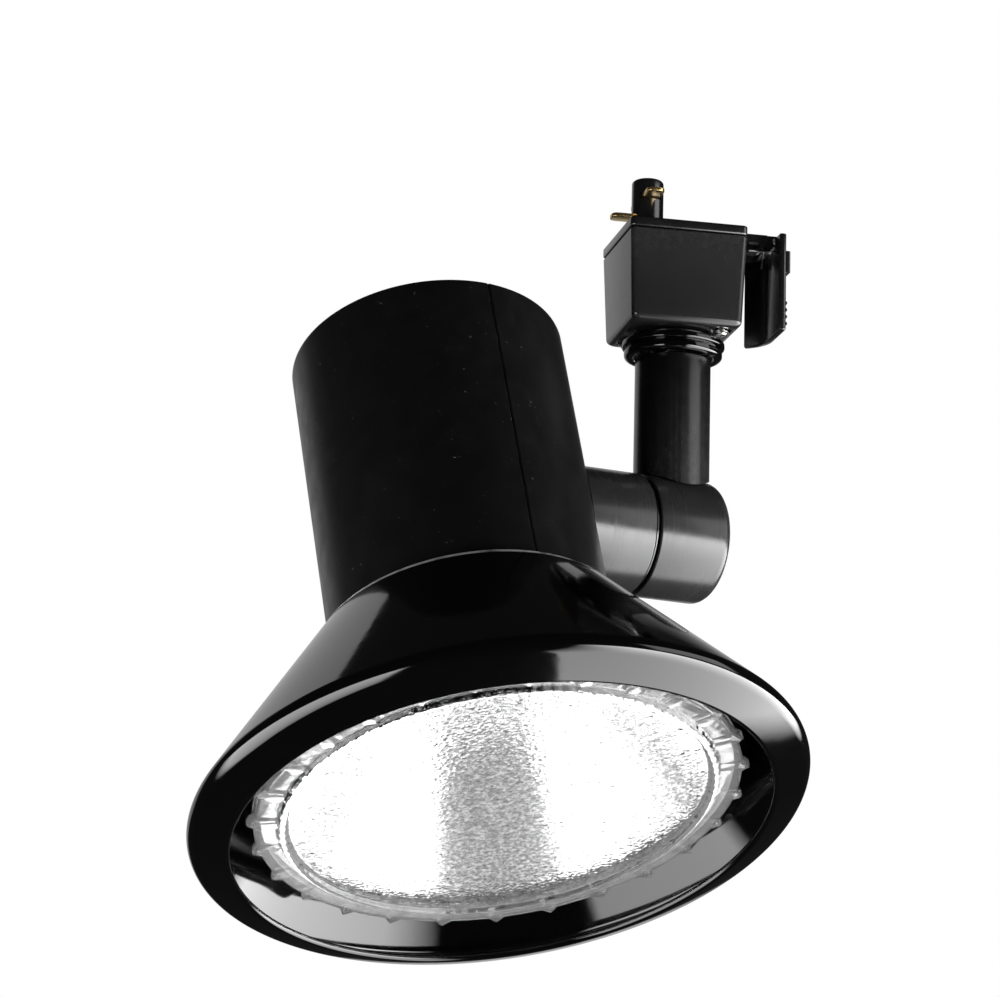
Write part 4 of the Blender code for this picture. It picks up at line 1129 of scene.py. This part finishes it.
def lens_press(r, z, angle):
    """A light stippling on the face. Round the flange, ribs, rim bumps and a ring of fine notches."""
    turns = angle * RIM_BUMPS / TURN
    pulse = math.cos(math.pi / 2 * min(1.0, abs((turns + 0.5) % 1 - 0.5) / 0.13)) ** 1.5
    notch = math.exp(-((abs((turns * 4 + 0.5) % 1 - 0.5) / 0.22) ** 2))
    if z > 6.4 * MM and r < LAMP_R - 0.5 * MM:
        return r, z
    if r > LAMP_R - 0.9 * MM:
        return r + 1.3 * MM * pulse, z - 0.35 * MM * pulse
    if r > 43.4 * MM:
        return r, z - 0.3 * MM * pulse
    if r > 41.2 * MM:
        return r, z - 0.12 * MM * notch
    if r < 40.6 * MM:
        x, y = r * math.cos(angle) * 700, r * math.sin(angle) * 700
        return r, z + 0.02 * MM * noise.noise((x, y, 0))
    return r, z


def reflector_radius(height):
    """The paraboloid's radius, which is REFLECTOR_END_R at 31 mm above its foot."""
    slope = (LAMP_R**2 - REFLECTOR_END_R**2) / (31 * MM)
    return math.sqrt(LAMP_R**2 - slope * (height - REFLECTOR_FOOT))


def lamp():
    dome = divided((0.4 * MM, 4.7 * MM), (FACE_R, 5.6 * MM), 60)
    outline = [
        (0, 7.4 * MM),
        (FACE_R, 8.4 * MM),
        (LAMP_R - 0.3 * MM, 8.4 * MM),
        (LAMP_R, 8.0 * MM),
        (LAMP_R, 7.3 * MM),
        (LAMP_R, 6.7 * MM),
        (LAMP_R - 0.2 * MM, 6.25 * MM),
        (LAMP_R - 0.7 * MM, 6.0 * MM),
        (46.2 * MM, 6.0 * MM),
        (45.4 * MM, 5.98 * MM),
        (44.4 * MM, 5.95 * MM),
        (43.6 * MM, 5.9 * MM),
        (43.1 * MM, 5.75 * MM),
        (42.8 * MM, 5.2 * MM),
        (42.3 * MM, 4.95 * MM),
        (41.7 * MM, 4.95 * MM),
        (41.3 * MM, 5.2 * MM),
        (FACE_R, 5.6 * MM),
        *dome[::-1],
        (0, 4.7 * MM),
    ]
    lens = turned(
        "lens_pressed", outline, RIM_BUMPS * 14, HEAD, "lamp", "lens_glass", "lamp_lens", warp=lens_press,
        sharp=60,
    )
    also_paint(lens, "flange_glass")
    for face in lens.data.polygons:
        face.material_index = 1 if face.center.xy.length > 43.2 * MM else 0

    heights = [REFLECTOR_FOOT + REFLECTOR_DEPTH * i / 28 for i in range(29)]
    wall = 1.8 * MM
    outer = [(reflector_radius(z), z) for z in heights]
    neck = capped(
        [
            (*outer[-1], 0), (14.6 * MM, 58 * MM, 6), (13.4 * MM, 66 * MM, 6), (13.2 * MM, 69.6 * MM, 0.3),
            (12.2 * MM, 69.6 * MM, 0.2), (12.2 * MM, 77 * MM, 0),
        ],
        6,
    )[1:]
    inner_neck = capped(
        [
            (outer[-1][0] - wall, 49 * MM, 0), (12.8 * MM, 58 * MM, 6), (11.6 * MM, 66 * MM, 6),
            (10.4 * MM, 77 * MM, 0),
        ],
        6,
    )[1:]
    inner = [(r - wall, z) for r, z in outer] + inner_neck
    rim = [(LAMP_R, 8.7 * MM), (LAMP_R - wall, 8.7 * MM)]
    profile = [*reversed(outer + neck), *rim, *inner]
    bulb = turned(
        "reflector_pressed", profile, 192, HEAD, "lamp", "silvered_glass", "lamp_reflector", sharp=60
    )
    also_paint(bulb, "silvered_back", "bare_rim", "neck_glass")
    for face in bulb.data.polygons:
        middle = face.center
        outward = face.normal.x * middle.x + face.normal.y * middle.y > 0
        inward = 2 if middle.z < BARE_RIM_TOP else 3 if middle.z > NECK_GLASS_START else 0
        face.material_index = 1 if outward else inward

    shell_low, shell_high, depth = 69.9 * MM, 91 * MM, 0.75 * MM
    rows = divided(
        (BASE_R, shell_high), (BASE_R, shell_low), round((shell_high - shell_low) / BASE_PITCH * 16)
    )
    bore = BASE_R - depth - 0.15 * MM
    shell = lathe(
        "base_shell",
        [(bore + 0.2 * MM, shell_high), *rows, (BASE_R, shell_low), (bore, shell_low), (bore, shell_high)],
        96, thread(BASE_R, depth, BASE_PITCH, shell_low, shell_high),
    )
    add("base_shell_threaded", shell, HEAD, "lamp", "nickel", "lamp_base_shell")
    insulator = mm((0, 96.6, 0), (5.2, 96.6, 0.6), (12, 92, 1), (12, 91.3, 0.2), (0, 91.3, 0))
    turned("base_insulator", capped(insulator, 4), 96, HEAD, "lamp", "black_glass", "lamp_base_insulator")
    eyelet = [
        (0, LAMP_TIP, 0), (3.4 * MM, LAMP_TIP, 0.8), (4.4 * MM, 97.3 * MM, 0.4), (4.4 * MM, 96.9 * MM, 0.1),
        (0, 96.9 * MM, 0),
    ]
    turned("base_eyelet", capped(eyelet, 4), 64, HEAD, "lamp_tip", "brass", "lamp_base_eyelet")
    capsule = [
        (0, 58 * MM), (3 * MM, 58 * MM), (3 * MM, 48 * MM), *arc((0, 44 * MM), 5 * MM, 40, 0, 6),
        *arc((0, 33 * MM), 5 * MM, 0, -86, 12), (0, 28 * MM),
    ]
    blown = turned("capsule_blown", capsule, 48, HEAD, "lamp", "lens_glass", "lamp_capsule")
    repaint(blown, "clear_glass")
    mount = mm((0, 80, 0), (10, 80, 0.4), (10, 78, 0.4), (2, 77.5, 0.8), (2, 58.3, 0.3), (0, 58.3, 0))
    turned("capsule_mount_turned", capped(mount, 4), 48, HEAD, "lamp", "nickel", "lamp_capsule_mount")


# Studio


def floor():
    """A pale floor well below, lit evenly. It adds no light and no reflection to the object."""
    bm = bmesh.new()
    bmesh.ops.create_grid(bm, x_segments=1, y_segments=1, size=6.0)
    obj = new_object("floor", finish_mesh("floor", bm))
    obj.location.z = -2.6
    obj.visible_glossy = obj.visible_diffuse = obj.visible_transmission = False
    white = {"Emission_Color": WHITE, "Emission_Strength": 0.8}
    look("pale_floor", grey(0.85), None, None, (0.9,), None, **white)
    also_paint(obj, "pale_floor")


def softbox(name, centre, facing, size, top, bottom, fall_off=1.0, soft=(0.1, 0.1)):
    """A lit panel that dims from its top edge to its bottom edge, and softly at its two sides."""
    light = bpy.data.lights.new(name, "AREA")
    light.shape = "RECTANGLE"
    light.size, light.size_y = size
    light.energy = math.pi * size[0] * size[1]
    light.use_nodes = True
    tree = light.node_tree
    spot = add_node(tree, "SeparateXYZ", i0=add_node(tree, "NewGeometry").outputs["Parametric"])
    high = add_node(tree, "Math", {"operation": "POWER"}, i0=spot.outputs[1], i1=fall_off)
    fall = spread(tree, high.outputs[0], bottom, top, 0.0, 1.0)
    for start, end, width in ((0.0, 1.0, soft[0]), (1.0, 0.0, soft[1])):
        side = spread(tree, spot.outputs[0], 0.0, 1.0, start, start + (end - start) * width)
        fall = product(tree, fall, side)
    tree.links.new(fall, tree.nodes["Emission"].inputs["Strength"])
    obj = new_object(name, light)
    obj.location = centre
    obj.rotation_mode = "QUATERNION"
    obj.rotation_quaternion = Vector(facing).to_track_quat("-Z", "Y")
    obj.visible_camera = False


def world():
    """A white surround for the camera, and a dim one for what the surfaces reflect."""
    made = bpy.data.worlds.new("studio")
    bpy.context.scene.world = made
    made.use_nodes = True
    tree = made.node_tree
    tree.nodes.clear()
    path = add_node(tree, "LightPath")
    dim = add_node(tree, "Background", Color=WHITE, Strength=0.02)
    white = add_node(tree, "Background", Color=WHITE, Strength=1.0)
    mix = add_node(
        tree, "MixShader", i0=path.outputs["Is Camera Ray"], i1=dim.outputs[0], i2=white.outputs[0]
    )
    out = add_node(tree, "OutputWorld")
    tree.links.new(mix.outputs[0], out.inputs["Surface"])


def camera():
    """Below the spotlight and a little to its left, with a long lens."""
    yaw, pitch, roll = math.radians(12), math.radians(13.5), math.radians(1.5)
    aside, above, away = 0.77, 63.7, 690
    ahead = Vector((math.sin(yaw) * math.cos(pitch), math.cos(yaw) * math.cos(pitch), math.sin(pitch)))
    level = Vector((math.cos(yaw), -math.sin(yaw), 0))
    rise = level.cross(ahead)
    right = level * math.cos(roll) + rise * math.sin(roll)
    up = rise * math.cos(roll) - level * math.sin(roll)
    lens = bpy.data.cameras.new("camera")
    lens.lens = 129.6
    lens.sensor_width = 36
    lens.clip_start = 0.01
    obj = new_object("camera", lens)
    place = Matrix((right, up, -ahead)).transposed().to_4x4()
    place.translation = mouth - (aside * right - above * up + away * ahead) * MM
    obj.matrix_world = place
    bpy.context.scene.camera = obj


def studio():
    floor()
    softbox("left_box", (-0.45, -0.245, -0.6), (1, 0, 0), (0.79, 0.91), 8.0, 2.0)
    softbox("right_box", (0.45, -0.65, -0.81), (-1, 0, 0), (1.7, 1.42), 17.0, 5.5, 4.0, (0.5, 0.06))
    softbox("side_box", (0.69, -0.4, 0.2), (-0.69, 0.4, -0.24), (0.6, 0.36), 2.2, 2.2)
    softbox("back_box", (-0.2, 1.2, 0.35), (0, -1, 0), (1.6, 1.3), 0.55, 0.55)
    world()
    camera()
    bpy.context.scene.view_settings.view_transform = "Standard"


adapter()
stem()
knuckle()
cylinder()
shade()
lampholder()
lamp()
for piece in PIECES:
    settle(piece)
for entry in frame["record"]["subparts"]:
    node = frame["nodes"][entry["node"]]
    if not node.hide_render:
        node.data.materials.clear()
        node.data.materials.append(LOOKS[entry["material_slot"]])
studio()
